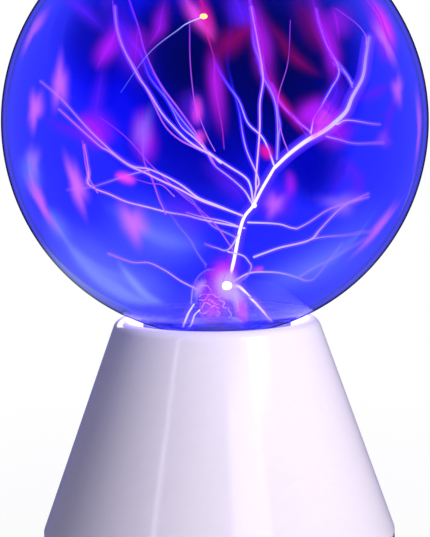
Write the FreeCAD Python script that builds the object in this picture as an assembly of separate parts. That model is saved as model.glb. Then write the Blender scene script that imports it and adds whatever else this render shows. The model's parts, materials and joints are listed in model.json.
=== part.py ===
import FreeCAD, Part
import math
import os

# A plasma ball: a blown glass globe with a re-entrant electrode tube, seated in a conical moulded base.
# Millimetres. +Z is up, the origin is on the table under the middle of the base, and +Y is the back,
# where the inlet and the switch are.

# ---- Globe: a blown sphere drawn down into a neck ----
globe_diameter = 150.0
globe_wall = 1.6
neck_diameter = 34.0
neck_fillet = 3.0  # outside radius where the sphere turns down into the neck
globe_sink = 5.8  # how far the sphere dips under the rim of the base
neck_projection = 3.0  # neck that shows under its collar

# ---- Electrode tube: closed at its top by a dome, flared at its foot and sealed to the neck ----
stem_diameter = 22.0
stem_wall = 1.4
dome_diameter = 17.2
dome_rise = 20.0  # top of the dome over the rim of the base
dome_straight = 7.4  # straight tube under the dome
shoulder_height = 5.0  # where the narrow tube widens to the stem
flare_radius = 3.0
tip_diameter = 4.4  # sealed-off pumping tube
tip_bore = 2.0
tip_straight = 5.0
tip_length = 9.0

# ---- What the tube holds ----
wool_gap = 0.2
wool_tail = 1.0  # wool that reaches below the shoulder
plug_length = 5.0
wire_diameter = 1.0
lead_diameter = 2.4  # high voltage lead, over its insulation
bend_share = 0.45  # most of a run that a bend in a lead may use
bare_wire_length = 12.0

# ---- Housing: a moulded cone with a rolled rim and a cup that the globe dips into ----
base_diameter = 128.0  # across the lower edge, before it is rounded
cone_top_diameter = 72.4  # where the sloping side would meet the rim's height
rim_height = 82.0
housing_wall = 2.2
rim_fillet = 4.0
rim_land = 0.3
cup_depth = 6.3
shelf_clearance = 1.6  # round the neck
edge_fillet = 1.4  # lower outside edge
rib_count = 6
rib_thickness = 1.6
rib_height = 13.5

# ---- Seat, collar and adhesive that hold the globe ----
seat_inner_diameter = 44.0
seat_outer_diameter = 53.0
collar_wall = 2.0
collar_length = 10.0
adhesive_gap = 2.2
adhesive_length = 7.0
lug_thickness = 2.5
lug_circle_diameter = 57.0
lug_width = 8.0
lug_rise = 4.0  # top of a lug over the lower edge of its collar
lug_count = 3
boss_diameter = 7.0

# ---- Bottom cover and feet ----
foot_projection = 1.2
foot_diameter = 12.0
foot_recess = 0.8
foot_circle_diameter = 102.0
foot_count = 4
cover_thickness = 2.2
skirt_height = 3.0
skirt_rounding = 0.8  # lower outside edge
seam_bevel = 0.4  # groove where the cover meets the housing
tongue_height = 3.0
tongue_thickness = 1.8
tongue_clearance = 0.25
vent_width = 2.0
inner_vent_count = 12
outer_vent_count = 18
inner_vent_start = 16.0
inner_vent_end = 25.0
outer_vent_start = 29.0
outer_vent_end = 37.5

# ---- Cover screws ----
screw_diameter = 2.9
screw_head_diameter = 5.6
screw_head_height = 2.0
screw_length = 12.0
screw_play = 0.05
screw_clearance = 0.25
cover_screw_circle_diameter = 98.0
cover_screw_count = 4
tower_height = 3.6  # over the cover's floor
tower_land = 2.4  # under the screw head
tower_grown = 0.5  # wall that a tower has more than the housing's boss, on each side

# ---- Small screws for the collar and the circuit board ----
small_screw_diameter = 2.2
small_head_diameter = 4.2
small_head_height = 1.5
small_screw_length = 6.0
head_rounding = 0.45  # of every pan head, as a share of its height
recess_length = 0.55  # cross recess, as a share of the head
recess_width = 0.24  # cross recess, as a share of the thread

# ---- Rear niche, with the panel that carries the switch and the inlet ----
niche_width = 44.0
niche_height = 20.0
niche_bottom = 13.0
niche_corner = 3.0
niche_edge_depth = 1.9  # least depth, at the upper corners
panel_thickness = 2.0

# ---- Circuit board ----
board_width = 56.0
board_length = 84.0
board_thickness = 1.6
board_gap = 1.0  # to the panel
board_corner = 2.0
board_screw_inset = 4.0
standoff_diameter = 6.5
lead_hole_play = 0.15

# ---- Direct current inlet, 5.5 mm outside and 2.1 mm inside ----
jack_across = 12.6  # inlet axis from the middle of the panel
jack_width = 9.0
jack_height = 11.0
jack_length = 14.0
jack_axis_height = 6.5  # over the board
jack_bore = 6.0
jack_depth = 10.0
jack_pin_diameter = 2.0
jack_pin_setback = 0.6
jack_hole_diameter = 8.4
jack_gap = 0.2
jack_rounding = 2.7  # upper long edges
jack_slot_width = 3.0  # slot for the spring contact
jack_slot_height = 5.2
jack_slot_middle = 1.4  # over the board
jack_slot_length = 9.0
jack_tail_width = 2.4
jack_tail_thickness = 0.4
jack_rivet_diameter = 3.4
jack_rivet_height = 0.6
spring_width = 2.4
spring_thickness = 0.4
spring_setback = 1.2  # behind the front of the body
spring_lift = 0.3  # rear end, over the board
spring_rise = 0.8  # front end, over the rear end
spring_gap = 0.1  # crest to the bore

# ---- Three-position slide switch ----
switch_across = -9.0  # switch centre from the middle of the panel
switch_travel = 2.5  # each way from the middle
switch_plate = 0.6
switch_length = 16.4
switch_height = 7.0
switch_depth = 6.2
switch_ear_length = 4.0
switch_corner = 1.9
switch_tab_width = 2.0  # tabs folded over the insulator
switch_tab_height = 1.5
switch_tab_inset = 2.0
lever_length = 4.0
lever_height = 3.0
lever_projection = 3.0  # past the panel
lever_rounding = 0.5
lever_groove_count = 3
lever_groove_width = 0.4
lever_groove_depth = 0.4
slide_gap = 0.2
block_height = 5.0
block_depth = 2.6
insulator_thickness = 1.6
terminal_pitch = 5.1
terminal_width = 1.5
terminal_thickness = 0.5
terminal_length = 5.0
pad_height = 2.6
pad_thickness = 0.4
outer_pad_width = 2.2
middle_pad_width = 5.6
contact_reach = 3.4  # from the middle to each foot of the bridging contact
contact_foot_width = 1.2
contact_width = 2.0
contact_gap = 0.35
ear_screw_diameter = 2.0
ear_head_diameter = 3.6
ear_head_height = 1.2
ear_screw_reach = 2.0  # past the switch's plate

# ---- Microphone ----
microphone_diameter = 4.5
microphone_thickness = 2.2
microphone_across = 5.8
microphone_lip = 0.45
microphone_lip_depth = 0.3
microphone_leg = 0.4
microphone_leg_pitch = 2.0
sound_hole_diameter = 1.6

# ---- High voltage transformer ----
core_length = 32.0
core_width = 33.0
core_depth = 10.0
core_end = 4.5  # thickness of the yokes and outer legs
core_leg_diameter = 10.0
bobbin_wall = 1.0
bobbin_flange = 1.0
bobbin_gap = 0.2
winding_diameter = 22.6
section_count = 4  # one primary section and three high voltage sections
transformer_forward = 10.0  # in front of the board's middle
transformer_across = 4.0
pin_diameter = 0.8
pin_reach = 1.2  # into the foot of the bobbin
bobbin_foot_height = 1.3
bobbin_foot_depth = 2.0
lead_post_height = 3.0
pin_row_reach = 8.1  # from the middle of the bobbin to each row of pins
bobbin_foot_width = 19.2
primary_margin = 1.5  # of the primary winding inside its flanges
high_voltage_margin = 0.4

# ---- Other parts on the board ----
pin_pitch = 2.54
pin_tail = 1.0  # of a leg under the board
sink_width = 26.0
sink_height = 24.0
sink_base = 2.4
fin_count = 6
fin_depth = 6.0
fin_thickness = 1.2
package_width = 10.0
package_height = 15.0
package_depth = 4.4
package_body_height = 9.0  # epoxy, below the metal tab
tab_hole_drop = 0.5  # hole under the package's nominal height
switch_lead_diameter = 1.4
lead_reach = 10.0
lead_spread = 6.5
joint_height = 0.8  # soldered wire that shows under the board
package_lift = 2.6
tab_thickness = 1.3
sink_front = 9.0  # from the front edge of the board
large_capacitor_diameter = 10.0
large_capacitor_height = 16.0
small_capacitor_diameter = 6.3
small_capacitor_height = 11.0
capacitor_groove = 0.05  # rolled groove, as a share of the can's diameter
capacitor_groove_height = 0.14  # as a share of the can's height
capacitor_across = 14.0
capacitor_front = 8.5
capacitor_space = 1.5
capacitor_pitch = 2.5
chip_length = 9.4
chip_width = 6.4
chip_height = 3.2
chip_lift = 0.7
chip_notch = 0.9  # radius of the notch at its first leg
chip_leg_width = 0.6
chip_back = 10.0  # behind the transformer
resistor_length = 6.5
resistor_diameter = 2.4
resistor_bead_diameter = 2.7  # swollen ends
resistor_bead_length = 1.3
resistor_lift = 0.15
resistor_lead = 0.6
resistor_pitch = 10.0
resistor_rows = 3
resistor_step = 4.0
resistor_back = 4.0  # behind the transformer
resistor_inset = 9.0  # from the sides of the board

# ---- Places that follow from the driving dimensions ----
origin = FreeCAD.Vector(0, 0, 0)
up = FreeCAD.Vector(0, 0, 1)
back = FreeCAD.Vector(0, 1, 0)
right = FreeCAD.Vector(1, 0, 0)

globe_radius = globe_diameter / 2
globe_centre = rim_height + globe_radius - globe_sink
neck_radius = neck_diameter / 2

skirt_top = foot_projection + skirt_height
base_radius = base_diameter / 2
slope = (base_radius - cone_top_diameter / 2) / (rim_height - skirt_top)
slope_angle = math.atan(slope)
level_wall = housing_wall / math.cos(slope_angle)  # the wall measured level

rim_centre_height = rim_height - rim_fillet
shelf_top = rim_height - cup_depth
shelf_bottom = shelf_top - housing_wall
collar_top = shelf_bottom - slide_gap
collar_bottom = collar_top - collar_length
neck_bottom = collar_bottom - neck_projection
collar_inner = neck_radius + adhesive_gap
collar_outer = collar_inner + collar_wall
lug_top = collar_bottom + lug_rise
flare_bottom = neck_bottom - stem_wall

dome_radius = dome_diameter / 2
dome_top = rim_height + dome_rise
dome_centre = dome_top - dome_radius
stem_radius = stem_diameter / 2
shoulder_top = dome_centre - dome_straight
shoulder_bottom = shoulder_top - shoulder_height

cover_floor = foot_projection + cover_thickness
tower_top = cover_floor + tower_height
cover_screw_seat = tower_top - tower_land
niche_top = niche_bottom + niche_height
niche_middle = niche_bottom + niche_height / 2
board_top = niche_middle - jack_axis_height
board_bottom = board_top - board_thickness


def side_radius(height):
    """Outside radius of the sloping side at a height."""
    return base_radius - slope * (height - skirt_top)


def inner_radius(height):
    """Inside radius of the sloping side at a height."""
    return side_radius(height) - level_wall


def inset_radius(height, rounding):
    """Radius of the centre of a rounding that touches the side from within."""
    return side_radius(height) - rounding / math.cos(slope_angle)


edge_centre = (inset_radius(skirt_top + edge_fillet, edge_fillet), skirt_top + edge_fillet)
skirt_radius = edge_centre[0] + edge_fillet
rim_centre = (inset_radius(rim_centre_height, rim_fillet), rim_centre_height)
cup_radius = rim_centre[0] - rim_land
panel_outer = math.sqrt(side_radius(niche_top) ** 2 - (niche_width / 2) ** 2) - niche_edge_depth
panel_inner = panel_outer - panel_thickness
board_back = panel_inner - board_gap
board_front = board_back - board_length
board_middle = (board_back + board_front) / 2
transformer_y = board_middle - transformer_forward
transformer_z = board_top + winding_diameter / 2 + bobbin_gap + bobbin_flange
wool_bottom = shoulder_bottom - wool_tail
plug_bottom = wool_bottom - plug_length


# ---- Small helpers ----
def point(radius, height):
    return FreeCAD.Vector(radius, 0, height)


def line(start, end):
    return Part.LineSegment(point(*start), point(*end)).toShape()


def arc(start, through, end):
    return Part.Arc(point(*start), point(*through), point(*end)).toShape()


def on_circle(centre, radius, degrees):
    turn = math.radians(degrees)
    return centre[0] + radius * math.cos(turn), centre[1] + radius * math.sin(turn)


def turned(edges):
    """Solid of revolution of a closed outline about the Z axis."""
    solid = Part.Face(Part.Wire(edges)).revolve(origin, up, 360)
    return Part.Solid(solid) if solid.ShapeType == "Shell" else solid


def polygon(corners):
    """Closed outline through corners given as (radius, height)."""
    return [line(a, b) for a, b in zip(corners, corners[1:] + corners[:1])]


def box(x, y, z):
    """Block between two limits along each axis."""
    corner = FreeCAD.Vector(x[0], y[0], z[0])
    return Part.makeBox(x[1] - x[0], y[1] - y[0], z[1] - z[0], corner)


def centred(middle, size):
    """Block of a size about its middle."""
    return box(*[(m - s / 2, m + s / 2) for m, s in zip(middle, size)])


def rod(radius, start, length, axis=up):
    return Part.makeCylinder(radius, length, FreeCAD.Vector(*start), axis)


def pipe_ring(outer, inner, start, length, axis=up):
    return rod(outer, start, length, axis).cut(rod(inner, start, length, axis))


def joined(solids):
    """Fuse solids into one."""
    return solids[0].multiFuse(solids[1:]).removeSplitter() if len(solids) > 1 else solids[0]


def around(count, diameter, first=0.0):
    """Points evenly spaced on a circle, as (x, y, angle in degrees)."""
    steps = [first + 360.0 * i / count for i in range(count)]
    return [(*on_circle((0, 0), diameter / 2, a), a) for a in steps]


def spun(shape, degrees):
    copy = shape.copy()
    copy.rotate(origin, up, degrees)
    return copy


def routed(points, diameter):
    """Round lead along straight runs joined by tangent arcs."""
    places = [FreeCAD.Vector(*p) for p in points]
    edges = []
    begin = places[0]
    for before, here, after in zip(places, places[1:], places[2:]):
        into = (here - before).normalize()
        out = (after - here).normalize()
        turn = into.getAngle(out)
        reach = bend_share * min((here - before).Length, (after - here).Length)
        radius = reach / math.tan(turn / 2)
        inward = (out - into).normalize()
        middle = here + inward * (radius / math.cos(turn / 2) - radius)
        start = here - into * reach
        end = here + out * reach
        edges.append(Part.LineSegment(begin, start).toShape())
        edges.append(Part.Arc(start, middle, end).toShape())
        begin = end
    edges.append(Part.LineSegment(begin, places[-1]).toShape())
    path = Part.Wire(edges)
    section = Part.Wire(Part.makeCircle(diameter / 2, places[0], places[1] - places[0]))
    return path.makePipeShell([section], True, False)


# ---- Glass ----
def globe_outline(radius, throat, fillet):
    """Half outline of one glass surface: the crown, the sphere, the turn into the neck and the neck."""
    turn_radius = neck_radius + neck_fillet
    drop = math.sqrt((globe_radius + neck_fillet) ** 2 - turn_radius**2)
    turn_centre = (turn_radius, globe_centre - drop)
    share = radius / (globe_radius + neck_fillet)
    meet = (turn_radius * share, globe_centre - drop * share)
    toward = math.atan2(globe_centre - turn_centre[1], -turn_radius)
    half = (math.pi + toward) / 2
    through = (turn_centre[0] + fillet * math.cos(half), turn_centre[1] + fillet * math.sin(half))
    crown = (0, globe_centre + radius)
    side = (radius, globe_centre)
    return [
        arc(crown, on_circle((0, globe_centre), radius, 45), side),
        arc(side, on_circle((0, globe_centre), radius, -30), meet),
        arc(meet, through, (throat, turn_centre[1])),
        line((throat, turn_centre[1]), (throat, neck_bottom)),
    ]


def globe_shell():
    outer = globe_outline(globe_radius, neck_radius, neck_fillet)
    inner = globe_outline(globe_radius - globe_wall, neck_radius - globe_wall, neck_fillet + globe_wall)
    foot = line((neck_radius, neck_bottom), (neck_radius - globe_wall, neck_bottom))
    crown = line((0, globe_centre + globe_radius), (0, globe_centre + globe_radius - globe_wall))
    return turned(outer + [foot] + inner[::-1] + [crown])


def s_bend(start, end):
    """Two equal arcs from one upright line out to another, further down."""
    across = end[0] - start[0]
    down = start[1] - end[1]
    radius = (across**2 + down**2) / (4 * across)
    turn = math.degrees(math.asin(down / 2 / radius))
    first = (start[0] + radius, start[1])
    second = (end[0] - radius, end[1])
    middle = on_circle(first, radius, 180 + turn)
    return [
        arc(start, on_circle(first, radius, 180 + turn / 2), middle),
        arc(middle, on_circle(second, radius, turn / 2), end),
    ]


def stem_outline(offset, bottom):
    """Half outline of the tube inside its wall by offset: dome, narrow tube, shoulder and stem."""
    dome = dome_radius - offset
    tube = stem_radius - offset
    edges = [
        arc((0, dome_centre + dome), on_circle((0, dome_centre), dome, 45), (dome, dome_centre)),
        line((dome, dome_centre), (dome, shoulder_top)),
    ]
    edges += s_bend((dome, shoulder_top), (tube, shoulder_bottom))
    edges.append(line((tube, shoulder_bottom), (tube, bottom)))
    return edges


def electrode_stem():
    turn = (stem_radius + flare_radius, neck_bottom + flare_radius)
    inside = flare_radius + stem_wall
    tube_inner = stem_radius - stem_wall
    edges = stem_outline(0.0, turn[1])
    edges += [
        arc((stem_radius, turn[1]), on_circle(turn, flare_radius, 225), (turn[0], neck_bottom)),
        line((turn[0], neck_bottom), (neck_radius, neck_bottom)),
        line((neck_radius, neck_bottom), (neck_radius, flare_bottom)),
        line((neck_radius, flare_bottom), (turn[0], flare_bottom)),
        arc((turn[0], flare_bottom), on_circle(turn, inside, 225), (tube_inner, turn[1])),
    ]
    edges += stem_outline(stem_wall, turn[1])[::-1]
    edges.append(line((0, dome_top - stem_wall), (0, dome_top)))
    pumping_hole = rod(tip_bore / 2, (*tip_place(), flare_bottom - 1), stem_wall + 2)
    return turned(edges).cut(pumping_hole)


def tip_place():
    """Middle of the flat ring of the flare, from which the pumping tube hangs."""
    return ((stem_radius + flare_radius + neck_radius) / 2 - flare_radius / 4, 0)


def exhaust_tip():
    """Narrow tube drawn to a rounded nib where it was sealed off."""
    outer = tip_diameter / 2
    bore = tip_bore / 2
    nib = outer / 2
    nib_centre = (0, nib - tip_length)
    bore_centre = (0, -tip_straight)
    outline = [
        line((bore, 0), (outer, 0)),
        line((outer, 0), (outer, -tip_straight)),
        line((outer, -tip_straight), (nib, nib_centre[1])),
        arc((nib, nib_centre[1]), on_circle(nib_centre, nib, -45), (0, -tip_length)),
        line((0, -tip_length), (0, -tip_straight - bore)),
        arc((0, -tip_straight - bore), on_circle(bore_centre, bore, -45), (bore, -tip_straight)),
        line((bore, -tip_straight), (bore, 0)),
    ]
    tip = turned(outline)
    tip.translate(FreeCAD.Vector(*tip_place(), flare_bottom))
    return tip


# ---- Inside the electrode tube ----
def steel_wool():
    offset = stem_wall + wool_gap
    edges = stem_outline(offset, wool_bottom)
    edges.append(line((stem_radius - offset, wool_bottom), (0, wool_bottom)))
    edges.append(line((0, wool_bottom), (0, dome_top - offset)))
    bore = rod(wire_diameter / 2 + wool_gap, (0, 0, wool_bottom - 1), bare_wire_length + 1 + wool_gap)
    return turned(edges).cut(bore)


def wool_plug():
    radius = stem_radius - stem_wall
    bore = lead_diameter / 2 + screw_play
    return pipe_ring(radius, bore, (0, 0, plug_bottom), plug_length)


def bare_wire():
    return rod(wire_diameter / 2, (0, 0, wool_bottom), bare_wire_length)


def high_voltage_lead():
    """From the post on the transformer up into the electrode tube."""
    post = lead_post()
    plug_top = plug_bottom + plug_length
    rise = (flare_bottom - post[2]) / 3
    points = [
        post,
        (post[0], post[1], post[2] + rise),
        (0, 0, flare_bottom),
        (0, 0, plug_top),
    ]
    return routed(points, lead_diameter)


# ---- Housing ----
def housing_skin():
    """The cone as one turned shell with its rolled rim, cup and shelf."""
    lean = math.degrees(slope_angle)
    edge_top = on_circle(edge_centre, edge_fillet, lean)
    rim_start = on_circle(rim_centre, rim_fillet, lean)
    hole = neck_radius + shelf_clearance
    cup_outer = cup_radius + housing_wall
    wedge_top = skirt_top + (base_radius - level_wall - cup_outer) / slope
    return turned(
        [
            line((inner_radius(skirt_top), skirt_top), (edge_centre[0], skirt_top)),
            arc((edge_centre[0], skirt_top), on_circle(edge_centre, edge_fillet, -45), edge_top),
            line(edge_top, rim_start),
            arc(rim_start, on_circle(rim_centre, rim_fillet, 60), (rim_centre[0], rim_height)),
            line((rim_centre[0], rim_height), (cup_radius, rim_height)),
            line((cup_radius, rim_height), (cup_radius, shelf_top)),
            line((cup_radius, shelf_top), (hole, shelf_top)),
            line((hole, shelf_top), (hole, shelf_bottom)),
            line((hole, shelf_bottom), (cup_outer, shelf_bottom)),
            line((cup_outer, shelf_bottom), (cup_outer, wedge_top)),
            line((cup_outer, wedge_top), (inner_radius(skirt_top), skirt_top)),
        ]
    )


def cone_block():
    """The space inside the outer face of the side, to trim what is joined to it."""
    low = skirt_top
    corners = [(0, low), (side_radius(low) - level_wall / 2, low)]
    corners += [(side_radius(rim_centre_height) - level_wall / 2, rim_centre_height), (0, rim_centre_height)]
    return turned(polygon(corners))


def niche_cutter(grow, depth):
    """Round-cornered block that runs out through the back, grown by grow all round."""
    half = niche_width / 2 + grow
    block = box((-half, half), (depth, base_radius + 5), (niche_bottom - grow, niche_top + grow))
    edges = [e for e in block.Edges if abs(e.tangentAt(0).y) > 0.9]
    return block.makeFillet(niche_corner + grow, edges)


def screw_bosses():
    """Long bosses for the cover screws, which run up into the sloping side."""
    reach = skirt_top + (inner_radius(skirt_top) - cover_screw_circle_diameter / 2) / slope
    bosses = []
    for x, y, _ in around(cover_screw_count, cover_screw_circle_diameter, 45):
        bosses.append(rod(boss_diameter / 2, (x, y, tower_top), reach - tower_top + boss_diameter))
    return bosses


def collar_bosses():
    return [
        rod(boss_diameter / 2, (x, y, lug_top), shelf_bottom - lug_top + housing_wall / 2)
        for x, y, _ in around(lug_count, lug_circle_diameter, 90)
    ]


def shelf_ribs():
    """Gussets between the shelf and the side."""
    inside = lug_circle_diameter / 2 + boss_diameter / 2 - housing_wall
    foot = shelf_bottom - rib_height
    corners = [
        (inside, shelf_bottom + housing_wall / 2),
        (inner_radius(shelf_bottom) + level_wall / 2, shelf_bottom + housing_wall / 2),
        (inner_radius(foot) + level_wall / 2, foot),
        (inner_radius(foot) - housing_wall, foot),
    ]
    face = Part.Face(Part.Wire(polygon(corners)))
    plate = face.extrude(back * rib_thickness)
    plate.translate(back * (-rib_thickness / 2))
    start = 90 + 180.0 / rib_count
    return [spun(plate, start + 360.0 * i / rib_count) for i in range(rib_count)]


def ear_places():
    """Middles of the two ear screws of the switch."""
    reach = (switch_length + switch_ear_length) / 2
    return [(switch_across - reach, niche_middle), (switch_across + reach, niche_middle)]


def slot_size():
    return lever_length + 2 * (switch_travel + slide_gap), lever_height + 2 * slide_gap


def panel_holes():
    start = panel_inner - 1
    through = panel_thickness + 2
    slot = centred((switch_across, panel_inner, niche_middle), (slot_size()[0], 2 * through, slot_size()[1]))
    holes = [slot]
    holes.append(rod(jack_hole_diameter / 2, (jack_across, start, niche_middle), through, back))
    sound = (microphone_across, start, microphone_height())
    holes.append(rod(sound_hole_diameter / 2, sound, through, back))
    for x, z in ear_places():
        holes.append(rod(ear_screw_diameter / 2 + screw_clearance, (x, start, z), through, back))
    return holes


def housing():
    skin = housing_skin()
    niche_wall = niche_cutter(panel_thickness, panel_inner)
    added = joined([niche_wall] + screw_bosses() + collar_bosses() + shelf_ribs()).common(cone_block())
    body = skin.fuse(added)
    cuts = [niche_cutter(0.0, panel_outer)] + panel_holes()
    for x, y, _ in around(cover_screw_count, cover_screw_circle_diameter, 45):
        cuts.append(rod(screw_diameter / 2 + screw_play, (x, y, tower_top - 1), screw_length))
    for x, y, _ in around(lug_count, lug_circle_diameter, 90):
        depth = shelf_bottom - lug_top + 1
        cuts.append(rod(small_screw_diameter / 2 + screw_play, (x, y, lug_top - 1), depth))
    return body.cut(Part.makeCompound(cuts)).removeSplitter()


# ---- What holds the globe ----
def seat_ring():
    """Soft ring on the shelf, hollowed to the sphere it carries."""
    inner = seat_inner_diameter / 2
    outer = seat_outer_diameter / 2
    ball = globe_radius + wool_gap
    inner_top = (inner, globe_centre - math.sqrt(ball**2 - inner**2))
    outer_top = (outer, globe_centre - math.sqrt(ball**2 - outer**2))
    middle = (inner + outer) / 2
    through = (middle, globe_centre - math.sqrt(ball**2 - middle**2))
    return turned(
        [
            line((inner, shelf_top), (outer, shelf_top)),
            line((outer, shelf_top), outer_top),
            arc(outer_top, through, inner_top),
            line(inner_top, (inner, shelf_top)),
        ]
    )


def neck_collar():
    tube = pipe_ring(collar_outer, collar_inner, (0, 0, collar_bottom), collar_length)
    lugs = []
    for x, y, angle in around(lug_count, lug_circle_diameter, 90):
        run = lug_circle_diameter / 2 - collar_inner
        arm = centred((0, 0, lug_top - lug_thickness / 2), (run, lug_width, lug_thickness))
        arm.translate(right * (collar_inner + run / 2 + collar_wall / 4))
        end = rod(lug_width / 2, (lug_circle_diameter / 2, 0, lug_top - lug_thickness), lug_thickness)
        web = Part.Face(
            Part.Wire(
                polygon(
                    [
                        (collar_outer - collar_wall / 2, lug_top - lug_thickness),
                        (collar_outer + 2, lug_top - lug_thickness),
                        (collar_outer - collar_wall / 2, collar_bottom),
                    ]
                )
            )
        ).extrude(back * rib_thickness)
        web.translate(back * (-rib_thickness / 2))
        lugs += [spun(s, angle) for s in (arm, end, web)]
    body = joined([tube] + lugs).cut(rod(collar_inner, (0, 0, collar_bottom - 1), collar_length + 2))
    for x, y, _ in around(lug_count, lug_circle_diameter, 90):
        hole = small_screw_diameter / 2 + screw_clearance
        body = body.cut(rod(hole, (x, y, lug_top - lug_thickness - 1), lug_thickness + 2))
    return body


def neck_adhesive():
    start = collar_top - adhesive_length
    return pipe_ring(collar_inner, neck_radius, (0, 0, start), adhesive_length)


def pan_screw(diameter, head_diameter, head_height, length):
    """Screw standing on its head at z = 0, pointing up, with a cross recess in the head."""
    shank = rod(diameter / 2, (0, 0, 0), length - diameter / 2)
    taper = FreeCAD.Vector(0, 0, length - diameter / 2)
    point_end = Part.makeCone(diameter / 2, diameter / 8, diameter / 2, taper)
    rounded = head_height * head_rounding
    radius = head_diameter / 2
    head = turned(
        [
            line((0, 0), (radius, 0)),
            line((radius, 0), (radius, -head_height + rounded)),
            arc(
                (radius, -head_height + rounded),
                (radius - rounded * 0.3, -head_height + rounded * 0.3),
                (radius - rounded, -head_height),
            ),
            line((radius - rounded, -head_height), (0, -head_height)),
            line((0, -head_height), (0, 0)),
        ]
    )
    cross = [
        centred((0, 0, -head_height), (head_diameter * recess_length, diameter * recess_width, head_height)),
        centred((0, 0, -head_height), (diameter * recess_width, head_diameter * recess_length, head_height)),
    ]
    return head.fuse([shank, point_end]).cut(Part.makeCompound(cross)).removeSplitter()


def placed(shape, places):
    """Copies of a shape at several places."""
    copies = []
    for place in places:
        copy = shape.copy()
        copy.translate(FreeCAD.Vector(*place))
        copies.append(copy)
    return Part.makeCompound(copies)


def small_screw():
    return pan_screw(small_screw_diameter, small_head_diameter, small_head_height, small_screw_length)


def collar_screws():
    places = around(lug_count, lug_circle_diameter, 90)
    return placed(small_screw(), [(x, y, lug_top - lug_thickness) for x, y, _ in places])


def cover_screws():
    screw = pan_screw(screw_diameter, screw_head_diameter, screw_head_height, screw_length)
    places = around(cover_screw_count, cover_screw_circle_diameter, 45)
    return placed(screw, [(x, y, cover_screw_seat) for x, y, _ in places])


# ---- Bottom cover and feet ----
def vent_slot(start, end):
    half = vent_width / 2
    low = foot_projection - 1
    height = cover_thickness + 2
    strip = box((start + half, end - half), (-half, half), (low, low + height))
    ends = [rod(half, (r, 0, low), height) for r in (start + half, end - half)]
    return strip.fuse(ends).removeSplitter()


def board_screw_places():
    x = board_width / 2 - board_screw_inset
    return [
        (side * x, y)
        for side in (-1, 1)
        for y in (board_front + board_screw_inset, board_back - board_screw_inset)
    ]


def bottom_cover():
    tongue_start = inner_radius(skirt_top) - tongue_clearance
    tongue_end = inner_radius(skirt_top + tongue_height) - tongue_clearance
    tongue_inner = tongue_end - tongue_thickness
    tongue_top = skirt_top + tongue_height
    low_centre = (skirt_radius - skirt_rounding, foot_projection + skirt_rounding)
    plate = turned(
        [
            line((0, foot_projection), (low_centre[0], foot_projection)),
            arc(
                (low_centre[0], foot_projection),
                on_circle(low_centre, skirt_rounding, -45),
                (skirt_radius, low_centre[1]),
            ),
            line((skirt_radius, low_centre[1]), (skirt_radius, skirt_top - seam_bevel)),
            line((skirt_radius, skirt_top - seam_bevel), (skirt_radius - seam_bevel, skirt_top)),
            line((skirt_radius - seam_bevel, skirt_top), (tongue_start, skirt_top)),
            line((tongue_start, skirt_top), (tongue_end, tongue_top)),
            line((tongue_end, tongue_top), (tongue_inner, tongue_top)),
            line((tongue_inner, tongue_top), (tongue_inner, cover_floor)),
            line((tongue_inner, cover_floor), (0, cover_floor)),
            line((0, cover_floor), (0, foot_projection)),
        ]
    )
    grown = []
    cuts = []
    floor_middle = cover_floor - cover_thickness / 2
    for x, y, _ in around(cover_screw_count, cover_screw_circle_diameter, 45):
        grown.append(rod(boss_diameter / 2 + tower_grown, (x, y, floor_middle), tower_top - floor_middle))
        cuts.append(rod(screw_diameter / 2 + screw_clearance, (x, y, foot_projection - 1), tower_top))
        depth = cover_screw_seat - foot_projection + 1
        cuts.append(rod(screw_head_diameter / 2 + screw_clearance, (x, y, foot_projection - 1), depth))
    for x, y in board_screw_places():
        grown.append(rod(standoff_diameter / 2, (x, y, floor_middle), board_bottom - floor_middle))
        depth = small_screw_length
        cuts.append(rod(small_screw_diameter / 2 + screw_play, (x, y, board_bottom - depth), depth + 1))
    for x, y, _ in around(foot_count, foot_circle_diameter):
        cuts.append(rod(foot_diameter / 2 + screw_play, (x, y, foot_projection - 1), foot_recess + 1))
    for count, start, end in (
        (inner_vent_count, inner_vent_start, inner_vent_end),
        (outer_vent_count, outer_vent_start, outer_vent_end),
    ):
        slot = vent_slot(start, end)
        cuts += [spun(slot, 360.0 * (i + 0.5) / count) for i in range(count)]
    return plate.fuse(grown).cut(Part.makeCompound(cuts)).removeSplitter()


def rubber_feet():
    radius = foot_diameter / 2
    bevel = foot_projection / 2
    height = foot_projection + foot_recess
    foot = turned(polygon([(0, 0), (radius - bevel, 0), (radius, bevel), (radius, height), (0, height)]))
    return placed(foot, [(x, y, 0) for x, y, _ in around(foot_count, foot_circle_diameter)])


# ---- Circuit board and what stands on it ----
def transformer_pin_places():
    y_reach = pin_row_reach
    x_reach = core_length / 2 - core_end - bobbin_flange
    return [
        (transformer_across + side * x_reach, transformer_y + y)
        for side in (-1, 1)
        for y in (-y_reach, 0, y_reach)
    ]


def resistor_places():
    """Middles of the resistors, in two columns behind the transformer."""
    start = transformer_y + core_width / 2 + resistor_back
    reach = board_width / 2 - resistor_inset
    return [(side * reach, start + resistor_step * i) for side in (-1, 1) for i in range(resistor_rows)]


def resistor_lead_places():
    half = resistor_pitch / 2
    return [(x + side * half, y) for x, y in resistor_places() for side in (-1, 1)]


def large_capacitor_place():
    return capacitor_across, board_front + capacitor_front


def small_capacitor_places():
    x, y = large_capacitor_place()
    first = x - (large_capacitor_diameter + small_capacitor_diameter) / 2 - capacitor_space
    return [(first, y), (first - small_capacitor_diameter - capacitor_space, y)]


def capacitor_lead_places():
    places = [large_capacitor_place()] + small_capacitor_places()
    return [(x + side * capacitor_pitch / 2, y) for x, y in places for side in (-1, 1)]


def chip_place():
    return 0, transformer_y + core_width / 2 + chip_back


def transistor_place():
    """Middle of the transistor's foot on the board."""
    return sink_face() + package_depth / 2, sink_middle()


def sink_face():
    return -board_width / 2 + fin_depth + sink_base + bobbin_gap


def sink_middle():
    return board_front + sink_width / 2 + sink_front


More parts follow.
